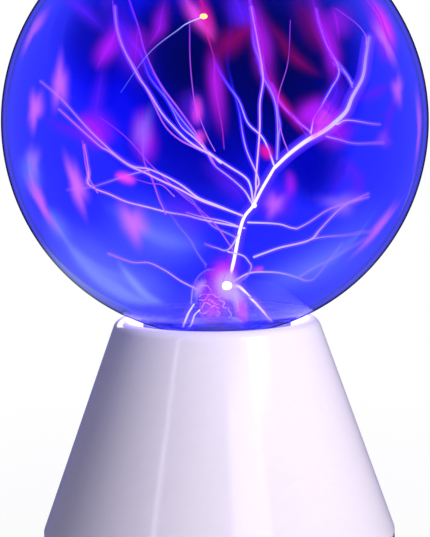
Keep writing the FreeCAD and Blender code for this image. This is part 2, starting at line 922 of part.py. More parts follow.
def transistor_lead_places():
    x, y = transistor_place()
    return [(x, y + step * pin_pitch) for step in (-1, 0, 1)]


def circuit_board():
    plate = box(
        (-board_width / 2, board_width / 2),
        (board_front, board_back),
        (board_bottom, board_top),
    )
    corners = [e for e in plate.Edges if abs(e.tangentAt(0).z) > 0.9]
    plate = plate.makeFillet(board_corner, corners)
    holes = []
    for x, y in board_screw_places():
        holes.append((x, y, small_screw_diameter / 2 + screw_clearance))
    for x, y in transformer_pin_places():
        holes.append((x, y, pin_diameter / 2 + lead_hole_play))
    wires = resistor_lead_places() + capacitor_lead_places() + transistor_lead_places()
    for x, y in wires + switch_lead_ends():
        holes.append((x, y, resistor_lead / 2 + lead_hole_play))
    tools = [rod(r, (x, y, board_bottom - 1), board_thickness + 2) for x, y, r in holes]
    return plate.cut(Part.makeCompound(tools))


def board_screws():
    screw = small_screw()
    screw.rotate(origin, right, 180)
    return placed(screw, [(x, y, board_top) for x, y in board_screw_places()])


def transformer_axis_start(offset):
    return (transformer_across + offset, transformer_y, transformer_z)


def transformer_core():
    """Two facing halves, each a yoke with a round centre leg and two outer legs."""
    half_length = core_length / 2
    half_width = core_width / 2
    height = (transformer_z - core_depth / 2, transformer_z + core_depth / 2)
    yoke = box(
        (half_length - core_end, half_length),
        (transformer_y - half_width, transformer_y + half_width),
        height,
    )
    legs = [
        box((0, half_length), (transformer_y + start, transformer_y + start + core_end), height)
        for start in (-half_width, half_width - core_end)
    ]
    centre = rod(core_leg_diameter / 2, (0, transformer_y, transformer_z), half_length, right)
    half = joined([yoke, centre] + legs)
    core = Part.makeCompound([half, half.mirror(origin, right)])
    core.translate(right * transformer_across)
    return core


def winding_space():
    """Free length between the yokes."""
    return core_length - 2 * core_end - 2 * bobbin_gap


def section_starts():
    """Where each wound section begins along the bobbin, and how long it is."""
    length = (winding_space() - (section_count + 1) * bobbin_flange) / section_count
    start = -winding_space() / 2 + bobbin_flange
    return [(start + i * (length + bobbin_flange), length) for i in range(section_count)]


def bobbin_tube_radius():
    return core_leg_diameter / 2 + bobbin_gap + bobbin_wall


def lead_post():
    """Top of the post that the high voltage lead leaves from."""
    start, length = section_starts()[-1]
    flange = start + length + bobbin_flange / 2
    top = transformer_z + winding_diameter / 2 + bobbin_flange + lead_post_height
    return transformer_across + flange, transformer_y, top


def transformer_bobbin():
    tube_start = transformer_axis_start(-winding_space() / 2)
    parts = [rod(bobbin_tube_radius(), tube_start, winding_space(), right)]
    flange_radius = winding_diameter / 2 + bobbin_flange
    edges = [start - bobbin_flange for start, _ in section_starts()]
    edges.append(winding_space() / 2 - bobbin_flange)
    limit = core_width / 2 - core_end - bobbin_gap
    sides = (transformer_y - limit, transformer_y + limit)
    height = (board_top + bobbin_gap, transformer_z + flange_radius)
    for x in edges:
        disc = rod(flange_radius, transformer_axis_start(x), bobbin_flange, right)
        across = (transformer_across + x, transformer_across + x + bobbin_flange)
        parts.append(disc.common(box(across, sides, height)))
    foot_width = bobbin_foot_width
    foot_middle = board_top + bobbin_gap + bobbin_foot_height / 2
    for side in (-1, 1):
        x = transformer_across + side * (core_length / 2 - core_end - bobbin_flange - bobbin_gap / 2)
        size = (bobbin_foot_depth, foot_width, bobbin_foot_height)
        parts.append(centred((x, transformer_y, foot_middle), size))
    post = lead_post()
    height = lead_post_height + bobbin_flange
    parts.append(rod(lead_diameter / 2, (post[0], post[1], post[2] - height), height))
    bore_radius = core_leg_diameter / 2 + bobbin_gap
    bore = rod(bore_radius, transformer_axis_start(-core_length), 2 * core_length, right)
    reach = core_length / 2 - core_end - bobbin_gap
    yokes = [
        centred(
            (transformer_across + side * (reach + core_length / 2), transformer_y, transformer_z),
            (core_length, 2 * core_width, 2 * winding_diameter),
        )
        for side in (-1, 1)
    ]
    return joined(parts).cut(Part.makeCompound([bore, transformer_pins()] + yokes)).removeSplitter()


def transformer_pins():
    start = board_bottom - pin_tail
    length = board_top + pin_reach - start
    pins = [rod(pin_diameter / 2, (x, y, start), length) for x, y in transformer_pin_places()]
    return Part.makeCompound(pins)


def winding(start, length, radius):
    inner = bobbin_tube_radius() + screw_play
    axis_start = transformer_axis_start(start + screw_play)
    return pipe_ring(radius, inner, axis_start, length - 2 * screw_play, right)


def primary_winding():
    start, length = section_starts()[0]
    return winding(start, length, winding_diameter / 2 - primary_margin)


def high_voltage_winding():
    radius = winding_diameter / 2 - high_voltage_margin
    return Part.makeCompound([winding(start, length, radius) for start, length in section_starts()[1:]])


def heat_sink():
    face = sink_face()
    y = sink_middle()
    width = (y - sink_width / 2, y + sink_width / 2)
    height = (board_top, board_top + sink_height)
    parts = [box((face - sink_base, face), width, height)]
    pitch = (sink_width - fin_thickness) / (fin_count - 1)
    for i in range(fin_count):
        start = width[0] + i * pitch
        parts.append(box((face - sink_base - fin_depth, face), (start, start + fin_thickness), height))
    z = board_top + tab_hole_height()
    hole = rod(small_screw_diameter / 2 + screw_play, (face - sink_base - 1, y, z), sink_base + 2, right)
    return joined(parts).cut(hole)


def tab_hole_height():
    return package_height - tab_hole_drop


def power_transistor():
    """Plastic body on a metal tab, with three legs through the board."""
    y = sink_middle()
    foot = board_top + package_lift
    face = sink_face()
    body_top = foot + package_body_height
    width = (y - package_width / 2, y + package_width / 2)
    body = box((face + tab_thickness / 2, face + package_depth), width, (foot, body_top))
    tab = box((face, face + tab_thickness), width, (foot, foot + package_height))
    z = board_top + tab_hole_height()
    hole = rod(small_screw_diameter / 2 + screw_clearance, (face - 1, y, z), package_depth + 2, right)
    start = board_bottom - pin_tail
    legs = [
        box(
            (x - resistor_lead / 2, x + resistor_lead / 2),
            (leg_y - resistor_lead / 2, leg_y + resistor_lead / 2),
            (start, foot),
        )
        for x, leg_y in transistor_lead_places()
    ]
    return joined([body, tab] + legs).cut(hole)


def transistor_screw():
    screw = small_screw()
    screw.rotate(origin, back, -90)
    screw.translate(
        FreeCAD.Vector(sink_face() + tab_thickness, sink_middle(), board_top + tab_hole_height())
    )
    return screw


def can_capacitor(diameter, height):
    """Sleeved can with a rolled groove near its foot, on two leads."""
    radius = diameter / 2
    groove = diameter * capacitor_groove
    low = height * capacitor_groove_height
    outline = [
        line((0, 0), (radius, 0)),
        line((radius, 0), (radius, low)),
        arc((radius, low), (radius - groove, low + groove), (radius, low + 2 * groove)),
        line((radius, low + 2 * groove), (radius, height - groove)),
        line((radius, height - groove), (radius - groove, height)),
        line((radius - groove, height), (0, height)),
        line((0, height), (0, 0)),
    ]
    length = board_thickness + pin_tail
    half = capacitor_pitch / 2
    leads = [rod(resistor_lead / 2, (x, 0, -length), length) for x in (-half, half)]
    return turned(outline).fuse(leads)


def large_capacitor():
    shape = can_capacitor(large_capacitor_diameter, large_capacitor_height)
    return placed(shape, [(*large_capacitor_place(), board_top)])


def small_capacitors():
    shape = can_capacitor(small_capacitor_diameter, small_capacitor_height)
    return placed(shape, [(*p, board_top) for p in small_capacitor_places()])


def resistors():
    """Axial resistors with their leads bent down through the board."""
    radius = resistor_diameter / 2
    half = resistor_pitch / 2
    lift = radius
    body = rod(radius, (-resistor_length / 2, 0, lift), resistor_length, right)
    caps = [
        rod(resistor_bead_diameter / 2, (x, 0, lift), resistor_bead_length, right)
        for x in (-resistor_length / 2, resistor_length / 2 - resistor_bead_length)
    ]
    low = -board_thickness - joint_height
    leads = [rod(resistor_lead / 2, (-half, 0, lift), resistor_pitch, right)]
    leads += [rod(resistor_lead / 2, (x, 0, low), lift - low) for x in (-half, half)]
    leads += [Part.makeSphere(resistor_lead / 2, FreeCAD.Vector(x, 0, lift)) for x in (-half, half)]
    one = joined([body] + caps + leads)
    return placed(one, [(x, y, board_top + resistor_lift) for x, y in resistor_places()])


def timer_chip():
    """Eight-leg package that stands on its legs, with a round notch at one end."""
    x, y = chip_place()
    body = centred((x, y, board_top + chip_lift + chip_height / 2), (chip_length, chip_width, chip_height))
    notch_radius = chip_notch
    notch = rod(notch_radius, (x - chip_length / 2, y, board_top + chip_height), chip_height)
    height = chip_lift + chip_height / 2
    row = (chip_width + chip_leg_width) / 2
    legs = [
        centred(
            (x + (i - 1.5) * pin_pitch, y + side * row, board_top + height / 2),
            (chip_leg_width, chip_leg_width, height),
        )
        for i in range(4)
        for side in (-1, 1)
    ]
    return joined([body] + legs).cut(notch)


# ---- Inlet ----
def jack_front():
    return panel_inner - jack_gap


def jack_body():
    front = jack_front()
    x = (jack_across - jack_width / 2, jack_across + jack_width / 2)
    block = box(x, (front - jack_length, front), (board_top, board_top + jack_height))
    rounded = [
        e
        for e in block.Edges
        if abs(e.tangentAt(0).y) > 0.9 and e.CenterOfMass.z > niche_middle
    ]
    block = block.makeFillet(jack_rounding, rounded)
    bore = rod(jack_bore / 2, (jack_across, front - jack_depth, niche_middle), jack_depth + 1, back)
    pin_start = (jack_across, front - jack_length - 1, niche_middle)
    pin_seat = rod(jack_pin_diameter / 2 + screw_play, pin_start, jack_length, back)
    spring_slot = centred(
        (jack_across, front - jack_depth / 2, board_top + jack_slot_middle),
        (jack_slot_width, jack_slot_length, jack_slot_height),
    )
    return block.cut(Part.makeCompound([bore, pin_seat, spring_slot]))


def jack_pin():
    """Centre contact with a rounded nose, riveted through the back of the body."""
    front = jack_front() - jack_pin_setback
    start = jack_front() - jack_length - jack_rivet_height
    radius = jack_pin_diameter / 2
    shaft = rod(radius, (jack_across, start, niche_middle), front - start - radius, back)
    nose = Part.makeSphere(radius, FreeCAD.Vector(jack_across, front - radius, niche_middle))
    rivet_radius = jack_rivet_diameter / 2
    rivet = rod(rivet_radius, (jack_across, start, niche_middle), jack_rivet_height, back)
    tail = box(
        (jack_across - jack_tail_width / 2, jack_across + jack_tail_width / 2),
        (start - jack_tail_thickness, start),
        (board_top, niche_middle + rivet_radius),
    )
    return joined([shaft, nose, rivet, tail])


def jack_spring():
    """Leaf that presses on the sleeve of a plug, in the slot under the bore."""
    front = jack_front()
    y0 = front - jack_slot_length
    y1 = front - spring_setback
    floor = board_top + spring_lift
    crest = niche_middle - jack_bore / 2 - spring_gap
    middle = (y0 + y1) / 2
    low = [(y0, floor), (middle, crest - spring_thickness), (y1, floor + spring_rise)]
    high = [(y, z + spring_thickness) for y, z in reversed(low)]
    corners = [FreeCAD.Vector(jack_across - spring_width / 2, y, z) for y, z in low + high]
    return Part.Face(Part.makePolygon(corners + corners[:1])).extrude(right * spring_width)


def microphone_height():
    return board_top + microphone_diameter / 2 + jack_gap


def microphone():
    """Capsule that faces the sound hole, on two legs."""
    radius = microphone_diameter / 2
    front = panel_inner - jack_gap
    start = front - microphone_thickness
    place = (microphone_across, start, microphone_height())
    capsule = rod(radius, place, microphone_thickness, back)
    lip_start = (microphone_across, front - microphone_lip_depth, microphone_height())
    rim = pipe_ring(radius, radius - microphone_lip, lip_start, 2 * microphone_lip_depth, back)
    half = microphone_leg / 2
    legs = [
        box((x - half, x + half), (start - microphone_leg, start), (board_top, microphone_height()))
        for x in (
            microphone_across - microphone_leg_pitch / 2,
            microphone_across + microphone_leg_pitch / 2,
        )
    ]
    return capsule.cut(rim).fuse(legs)


# ---- Slide switch ----
def switch_frame():
    """Folded steel: a front plate with ears, and two cheeks that reach back round the insulator."""
    half = switch_length / 2
    front = panel_inner
    rear = front - switch_depth
    z = (niche_middle - switch_height / 2, niche_middle + switch_height / 2)
    across = (switch_across - half, switch_across + half)
    ears = (across[0] - switch_ear_length, across[1] + switch_ear_length)
    plate = box(ears, (front - switch_plate, front), z)
    ends = [e for e in plate.Edges if abs(e.tangentAt(0).y) > 0.9]
    plate = plate.makeFillet(switch_corner, ends)
    cheeks = [
        box(across, (rear, front), (z[0], z[0] + switch_plate)),
        box(across, (rear, front), (z[1] - switch_plate, z[1])),
    ]
    tabs = [
        box((x, x + switch_tab_width), (rear - switch_plate, rear), (low, low + switch_tab_height))
        for x in (across[0] + switch_tab_inset, across[1] - switch_tab_inset - switch_tab_width)
        for low in (z[0], z[1] - switch_tab_height)
    ]
    slot = centred((switch_across, front, niche_middle), (slot_size()[0], 4 * switch_plate, slot_size()[1]))
    holes = [
        rod(ear_screw_diameter / 2 + screw_play, (x, front - 2, zz), 4, back) for x, zz in ear_places()
    ]
    return joined([plate] + cheeks + tabs).cut(Part.makeCompound([slot] + holes))


def insulator_front():
    return panel_inner - switch_depth + insulator_thickness


def terminal_places():
    return [switch_across + i * terminal_pitch for i in (-1, 0, 1)]


def switch_insulator():
    front = insulator_front()
    height = switch_height - 2 * switch_plate
    middle = (switch_across, front - insulator_thickness / 2, niche_middle)
    plate = centred(middle, (switch_length - slide_gap, insulator_thickness, height))
    slots = [
        centred((x, middle[1], niche_middle), (terminal_thickness, 2 * insulator_thickness, terminal_width))
        for x in terminal_places()
    ]
    return plate.cut(Part.makeCompound(slots))


def switch_terminals():
    """Flat legs pushed through the insulator, each with a contact pad at its front."""
    front = insulator_front()
    start = front - insulator_thickness - terminal_length
    half = terminal_width / 2
    legs = []
    for x, pad_width in zip(terminal_places(), (outer_pad_width, middle_pad_width, outer_pad_width)):
        across = (x - terminal_thickness / 2, x + terminal_thickness / 2)
        leg = box(across, (start, front), (niche_middle - half, niche_middle + half))
        pad = centred((x, front + pad_thickness / 2, niche_middle), (pad_width, pad_thickness, pad_height))
        legs.append(leg.fuse(pad))
    return Part.makeCompound(legs)


def pad_front():
    return insulator_front() + pad_thickness


def block_span():
    """Depths between which the sliding block lies."""
    front = panel_inner - switch_plate - slide_gap
    return front - block_depth, front


def switch_slider():
    """Sliding block with the lever that passes through the frame and the panel."""
    back_face, front_face = block_span()
    length = switch_length - 2 * (switch_travel + slide_gap)
    block = box(
        (switch_across - length / 2, switch_across + length / 2),
        (back_face, front_face),
        (niche_middle - block_height / 2, niche_middle + block_height / 2),
    )
    tip = panel_outer + lever_projection
    lever = box(
        (switch_across - lever_length / 2, switch_across + lever_length / 2),
        (front_face, tip),
        (niche_middle - lever_height / 2, niche_middle + lever_height / 2),
    )
    outer_edges = [e for e in lever.Edges if abs(e.CenterOfMass.y - tip) < 0.01]
    lever = lever.makeFillet(lever_rounding, outer_edges)
    grip = []
    pitch = lever_length / (lever_groove_count + 1)
    groove = (lever_groove_width, 2 * lever_groove_depth, 2 * lever_height)
    for i in range(lever_groove_count):
        x = switch_across - lever_length / 2 + (i + 1) * pitch
        grip.append(centred((x, tip, niche_middle), groove))
    return block.fuse(lever).cut(Part.makeCompound(grip)).removeSplitter()


def switch_contact():
    """Bridging clip carried under the block, with two feet that wipe along the pads."""
    block_back = block_span()[0]
    reach = contact_reach + contact_foot_width / 2
    wipe = pad_front() + contact_gap
    foot_depth = (block_back - wipe) / 2
    plate = box(
        (switch_across - reach, switch_across + reach),
        (wipe + foot_depth, block_back),
        (niche_middle - contact_width / 2, niche_middle + contact_width / 2),
    )
    feet = [
        centred((x, wipe + foot_depth / 2, niche_middle), (contact_foot_width, foot_depth, contact_width))
        for x in (switch_across - contact_reach, switch_across + contact_reach)
    ]
    return joined([plate] + feet)


def switch_screws():
    length = panel_thickness + switch_plate + ear_screw_reach
    screw = pan_screw(ear_screw_diameter, ear_head_diameter, ear_head_height, length)
    screw.rotate(origin, right, 90)
    return placed(screw, [(x, panel_outer, z) for x, z in ear_places()])


def switch_lead_start():
    return insulator_front() - insulator_thickness - terminal_length


def switch_lead_ends():
    """Where the three switch wires are soldered to the board."""
    spread = lead_spread - terminal_pitch
    y = switch_lead_start() - lead_reach
    return [(x + i * spread, y) for i, x in zip((-1, 0, 1), terminal_places())]


def switch_lead(index):
    """One wire from a switch leg down to the board."""
    x = terminal_places()[index]
    end_x, end_y = switch_lead_ends()[index]
    points = [
        (x, switch_lead_start(), niche_middle),
        (x, switch_lead_start() - lead_reach / 3, niche_middle),
        (end_x, end_y, niche_middle - switch_lead_diameter / 2),
        (end_x, end_y, board_top),
    ]
    wire = routed(points, switch_lead_diameter)
    tail_length = board_thickness + joint_height
    tail = rod(resistor_lead / 2, (end_x, end_y, board_bottom - joint_height), tail_length)
    return joined([wire, tail])


def all_parts():
    parts = {
        "globe_shell": globe_shell(),
        "electrode_stem": electrode_stem(),
        "exhaust_tip": exhaust_tip(),
        "steel_wool": steel_wool(),
        "wool_plug": wool_plug(),
        "electrode_wire": bare_wire(),
        "high_voltage_lead": high_voltage_lead(),
        "housing": housing(),
        "seat_ring": seat_ring(),
        "neck_collar": neck_collar(),
        "neck_adhesive": neck_adhesive(),
        "collar_screws": collar_screws(),
        "bottom_cover": bottom_cover(),
        "cover_screws": cover_screws(),
        "rubber_feet": rubber_feet(),
        "circuit_board": circuit_board(),
        "board_screws": board_screws(),
        "transformer_core": transformer_core(),
        "transformer_bobbin": transformer_bobbin(),
        "transformer_pins": transformer_pins(),
        "primary_winding": primary_winding(),
        "high_voltage_winding": high_voltage_winding(),
        "heat_sink": heat_sink(),
        "power_transistor": power_transistor(),
        "transistor_screw": transistor_screw(),
        "large_capacitor": large_capacitor(),
        "small_capacitors": small_capacitors(),
        "resistors": resistors(),
        "timer_chip": timer_chip(),
        "jack_body": jack_body(),
        "jack_pin": jack_pin(),
        "jack_spring": jack_spring(),
        "microphone": microphone(),
        "switch_frame": switch_frame(),
        "switch_insulator": switch_insulator(),
        "switch_terminals": switch_terminals(),
        "switch_slider": switch_slider(),
        "switch_contact": switch_contact(),
        "switch_screws": switch_screws(),
    }
    for index, colour in enumerate(("red", "yellow", "black")):
        parts["switch_lead_" + colour] = switch_lead(index)
    return parts


os.makedirs("parts", exist_ok=True)
for name, shape in all_parts().items():
    shape.exportStep("parts/" + name + ".step")
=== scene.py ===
import json
import math

import bpy
import numpy as np
from mathutils import Matrix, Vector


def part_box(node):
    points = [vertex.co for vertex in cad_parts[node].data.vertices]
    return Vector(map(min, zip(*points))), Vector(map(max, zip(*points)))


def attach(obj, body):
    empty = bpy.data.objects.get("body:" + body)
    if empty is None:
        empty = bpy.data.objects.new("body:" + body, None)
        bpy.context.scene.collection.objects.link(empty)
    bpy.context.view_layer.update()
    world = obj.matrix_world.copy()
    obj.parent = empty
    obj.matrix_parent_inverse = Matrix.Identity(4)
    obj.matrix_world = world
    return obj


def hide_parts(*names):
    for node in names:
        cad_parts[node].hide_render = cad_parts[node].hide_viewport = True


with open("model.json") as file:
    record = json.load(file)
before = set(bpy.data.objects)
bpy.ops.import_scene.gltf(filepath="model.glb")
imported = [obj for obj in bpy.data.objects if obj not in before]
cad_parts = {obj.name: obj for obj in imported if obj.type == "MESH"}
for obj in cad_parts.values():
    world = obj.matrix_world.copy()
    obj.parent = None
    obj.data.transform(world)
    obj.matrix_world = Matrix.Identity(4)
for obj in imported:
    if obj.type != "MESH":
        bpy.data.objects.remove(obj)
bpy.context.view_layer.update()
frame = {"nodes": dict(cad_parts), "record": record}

scene = bpy.context.scene
scene.view_settings.view_transform = "Standard"
scene.cycles.max_bounces = 48
scene.cycles.transmission_bounces = 44
scene.cycles.transparent_max_bounces = 64
scene.cycles.volume_bounces = 0
millimetre = 0.001
dice = np.random.default_rng(7)
print("frame loaded,", len(frame["nodes"]), "nodes")


# ---- small tools for nodes

def toLinear(hexColour):
    # an sRGB hex value as linear red, green, blue and alpha
    parts = np.array([int(hexColour[i:i + 2], 16) / 255 for i in (1, 3, 5)])
    linear = np.where(parts <= 0.04045, parts / 12.92, ((parts + 0.055) / 1.055) ** 2.4)
    return (*linear.tolist(), 1.0)


def newFinish(name):
    finish = bpy.data.materials.new(name)
    finish.use_nodes = True
    finish.node_tree.nodes.clear()
    return finish


def addNode(owner, kind, settings=None, links=None):
    # a key that is one of the node's inputs fills that input, any other is set on the node itself
    tree = owner.node_tree
    node = tree.nodes.new("ShaderNode" + kind)
    for key, value in (settings or {}).items():
        if isinstance(key, int) or key in node.inputs:
            node.inputs[key].default_value = value
        else:
            setattr(node, key, value)
    for socket, source in (links or {}).items():
        tree.links.new(source, node.inputs[socket])
    return node


def mixShaders(owner, share, first, second):
    return addNode(owner, "MixShader", {}, {0: share, 1: first.outputs[0], 2: second.outputs[0]})


def mixTones(owner, share, first, second):
    mixed = addNode(owner, "Mix", {"data_type": "RGBA", 6: toLinear(first), 7: toLinear(second)}, {0: share})
    return mixed.outputs[2]


def spread(owner, value, fromEnds=(0.0, 1.0), toEnds=(0.0, 1.0)):
    ends = {"From Min": fromEnds[0], "From Max": fromEnds[1], "To Min": toEnds[0], "To Max": toEnds[1]}
    return addNode(owner, "MapRange", ends, {"Value": value}).outputs["Result"]


def grainOf(owner, size, detail, rough=0.5):
    # noise with the given size in millimetres, fixed to the piece
    place = addNode(owner, "TexCoord")
    noise = addNode(owner, "TexNoise", {"Scale": 1 / (size * millimetre), "Detail": detail, "Roughness": rough},
                    {"Vector": place.outputs["Object"]})
    return noise.outputs["Fac"]


def evenLight(owner, tone, strength=1.0):
    return addNode(owner, "Emission", {"Color": tone, "Strength": strength})


def closeFinish(finish, surface, volume=None):
    sources = {"Surface": surface, "Volume": volume}
    addNode(finish, "OutputMaterial", {}, {way: node.outputs[0] for way, node in sources.items() if node})
    return finish


# ---- small tools for meshes

def makePiece(name, points, faces, colours=None, body="body"):
    # points in rows of millimetres, faces as arrays of corner numbers; the signed volume tells if they look outwards
    points = np.asarray(points, float)
    volume = 0.0
    for group in faces:
        a = points[group[:, 0]]
        for k in range(1, group.shape[1] - 1):
            volume += np.einsum("ij,ij->", a, np.cross(points[group[:, k]], points[group[:, k + 1]]))
    if volume < 0:
        faces = [group[:, ::-1] for group in faces]
    corners = np.concatenate([group.ravel() for group in faces])
    counts = np.concatenate([np.full(len(group), group.shape[1]) for group in faces])
    starts = np.concatenate([[0], np.cumsum(counts)[:-1]])
    mesh = bpy.data.meshes.new(name)
    mesh.vertices.add(len(points))
    mesh.vertices.foreach_set("co", (points * millimetre).astype(np.float32).ravel())
    mesh.loops.add(len(corners))
    mesh.loops.foreach_set("vertex_index", corners.astype(np.int32))
    mesh.polygons.add(len(counts))
    mesh.polygons.foreach_set("loop_start", starts.astype(np.int32))
    mesh.update(calc_edges=True)
    mesh.polygons.foreach_set("use_smooth", np.ones(len(counts), bool))
    for label, values in (colours or {}).items():
        layer = mesh.attributes.new(label, "FLOAT_COLOR", "POINT")
        layer.data.foreach_set("color", np.asarray(values, np.float32).ravel())
    piece = bpy.data.objects.new(name, mesh)
    scene.collection.objects.link(piece)
    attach(piece, body)
    return piece


def gridFaces(rows, columns, closedRows=False):
    # quads between neighbouring rows, the last column joined to the first
    i = np.arange(rows if closedRows else rows - 1)[:, None]
    j = np.arange(columns)[None, :]
    below = (i + 1) % rows
    right = (j + 1) % columns
    quads = np.stack([i * columns + j, i * columns + right, below * columns + right, below * columns + j], -1)
    return quads.reshape(-1, 4)


def fanFaces(middle, ring, turned=False):
    # triangles from one middle point to each step of a closed ring
    pair = (np.roll(ring, -1), ring) if turned else (ring, np.roll(ring, -1))
    return np.stack([np.full(len(ring), middle), *pair], -1)


def lathe(profile, segments):
    # the profile goes round the axis: x = r cos a, y = r sin a, z = h; an end on the axis becomes one point
    profile = np.asarray(profile, float)
    startPole = profile[0, 0] < 1e-9
    endPole = profile[-1, 0] < 1e-9
    rows = profile[1 if startPole else 0:len(profile) - 1 if endPole else len(profile)]
    a = np.linspace(0, 2 * np.pi, segments, endpoint=False)
    ring = np.stack([rows[:, :1] * np.cos(a), rows[:, :1] * np.sin(a), np.repeat(rows[:, 1:], segments, 1)], -1)
    points = ring.reshape(-1, 3)
    faces = [gridFaces(len(rows), segments, closedRows=not (startPole or endPole))]
    j = np.arange(segments)
    if startPole:
        faces.append(fanFaces(len(points), j, turned=True))
        points = np.vstack([points, [0, 0, profile[0, 1]]])
    if endPole:
        faces.append(fanFaces(len(points), (len(rows) - 1) * segments + j))
        points = np.vstack([points, [0, 0, profile[-1, 1]]])
    return points, faces


def arcOf(centre, radius, start, end, count):
    # points of an arc in the half plane, degrees from the horizontal
    a = np.radians(np.linspace(start, end, count))
    return np.stack([centre[0] + radius * np.cos(a), centre[1] + radius * np.sin(a)], -1)


def smoothLine(stops, perSpan):
    # Catmull-Rom: between two stops a cubic, whose slope at a stop is half the step between its neighbours
    p = np.asarray(stops, float)
    p = np.vstack([2 * p[0] - p[1], p, 2 * p[-1] - p[-2]])
    t = np.linspace(0, 1, perSpan, endpoint=False)[None, :, None]
    a, b, c, d = p[:-3, None], p[1:-2, None], p[2:-1, None], p[3:, None]
    curve = 0.5 * (2 * b + (c - a) * t + (2 * a - 5 * b + 4 * c - d) * t ** 2 + (3 * b - a - 3 * c + d) * t ** 3)
    return np.vstack([curve.reshape(-1, p.shape[1]), p[-2]])


def tube(path, radius, sides, facing=None, thin=None):
    # a circle carried along the path: p(t) + r (u cos a + v sin a), a point closing each end;
    # with a facing it is flat instead: u across, and v with the small half thickness thin
    path = np.asarray(path, float)
    radius = np.broadcast_to(np.asarray(radius, float), len(path))[:, None, None]
    along = np.gradient(path, axis=0)
    along /= np.linalg.norm(along, axis=1)[:, None]
    steady = np.eye(3)[np.argmin(np.abs(along).max(0))] if facing is None else np.asarray(facing, float)
    u = np.cross(along, steady)
    u /= np.linalg.norm(u, axis=1)[:, None]
    v = np.cross(along, u)
    a = np.linspace(0, 2 * np.pi, sides, endpoint=False)[None, :, None]
    ring = path[:, None] + radius * u[:, None] * np.cos(a) + (radius if thin is None else thin) * v[:, None] * np.sin(a)
    points = ring.reshape(-1, 3)
    count = len(points)
    ends = np.stack([path[0] - along[0] * radius[0, 0], path[-1] + along[-1] * radius[-1, 0]])
    j = np.arange(sides)
    return np.vstack([points, ends]), [gridFaces(len(path), sides), fanFaces(count, j, turned=True),
                                       fanFaces(count + 1, count - sides + j)]


def swollenBall(rows, columns, swell):
    # a ball in two angles, b down from the pole and a round it: r (sin b cos a, sin b sin a, cos b), r = swell(a, b)
    b = np.linspace(0, np.pi, rows + 2)[1:-1, None]
    a = np.linspace(0, 2 * np.pi, columns, endpoint=False)[None, :]
    r = swell(a, b)
    ball = np.stack([r * np.sin(b) * np.cos(a), r * np.sin(b) * np.sin(a), r * np.cos(b)], -1)
    count = rows * columns
    j = np.arange(columns)
    faces = [gridFaces(rows, columns), fanFaces(count, j, turned=True), fanFaces(count + 1, count - columns + j)]
    return np.vstack([ball.reshape(-1, 3), [(0, 0, 1.0), (0, 0, -1.0)]]), faces


def gather(parts):
    # several shapes as one: their points in a row, their corner numbers moved on
    points, quads, triangles, start = [], [], [], 0
    for shapePoints, shapeFaces in parts:
        for group in shapeFaces:
            (quads if group.shape[1] == 4 else triangles).append(group + start)
        points.append(shapePoints)
        start += len(shapePoints)
    faces = [np.vstack(group) for group in (quads, triangles) if group]
    return np.vstack(points), faces


# ---- camera, backdrop, floor and lamps

cameraPlace = {"stand": (-0.00052, -0.550, 0.1601), "downTilt": 6.26, "roll": -0.64, "lens": 103.84}
camera = bpy.data.cameras.new("camera")
camera.lens = cameraPlace["lens"]
camera.sensor_width = 36
camera.clip_end = 20
cameraObject = bpy.data.objects.new("camera", camera)
lookAlongY = Matrix.Rotation(math.radians(90 - cameraPlace["downTilt"]), 4, "X")
cameraObject.matrix_world = (Matrix.Translation(cameraPlace["stand"]) @ lookAlongY
                             @ Matrix.Rotation(math.radians(cameraPlace["roll"]), 4, "Z"))
scene.collection.objects.link(cameraObject)
scene.camera = cameraObject

studio = {
    "backdrop": "#ffffff",
    "roomTone": "#c3c6f2",   # soft lavender room light on matt surfaces
    "roomStrength": 0.07,
    "glossTone": (0.13, 0.13, 0.36, 1.0),   # what gloss mirrors: a dim room, cooled by the globe's light
    "floorTone": "#b4b4c0",
    "floorWhite": (0.965, 1.0),   # share of white in the floor near the foot and far off, the rest takes the shadow
    "floorReach": (0.10, 0.30),
}
lamps = {
    "keyBox": {"place": (0.62, -0.60, 0.72), "aim": (0.0, 0.0, 0.06), "size": (0.34, 0.42), "power": 9.8,
               "tone": "#fff4f2"},
    "leftStrip": {"place": (-0.62, -0.62, 0.55), "aim": (0.0, 0.0, 0.05), "size": (0.035, 0.9), "power": 0.7,
                  "tone": "#eceaff"},
    "backFill": {"place": (-0.35, 1.0, 0.50), "aim": (0.0, 0.0, 0.06), "size": (0.5, 0.5), "power": 3.2,
                 "tone": "#fff6f0"},
    "frontFill": {"place": (0.42, -1.0, 0.36), "aim": (0.0, 0.0, 0.05), "size": (0.5, 0.5), "power": 3.4,
                  "tone": "#d8d0ff"},
}
# the light of the discharge on the seat, the cup and the wool, as one small lamp low behind the dome
globeLamp = {"place": (0.0, 0.022, 0.104), "radius": 0.01, "power": 2.2, "tone": "#5a50ff"}


def seenShare(owner):
    # 1 for what the eye sees straight or through glass, 0 for gloss and matt light; and whether gloss asks
    path = addNode(owner, "LightPath")
    seen = addNode(owner, "Math", {"operation": "MAXIMUM"},
                   {0: path.outputs["Is Camera Ray"], 1: path.outputs["Is Transmission Ray"]})
    return seen.outputs[0], path.outputs["Is Glossy Ray"]


glowLight = bpy.data.lights.new("globeLamp", "POINT")
glowLight.energy = globeLamp["power"]
glowLight.shadow_soft_size = globeLamp["radius"]
glowLight.color = toLinear(globeLamp["tone"])[:3]
glowLamp = bpy.data.objects.new("globeLamp", glowLight)
glowLamp.location = globeLamp["place"]
for way in ("visible_camera", "visible_transmission", "visible_glossy"):
    setattr(glowLamp, way, False)
scene.collection.objects.link(glowLamp)

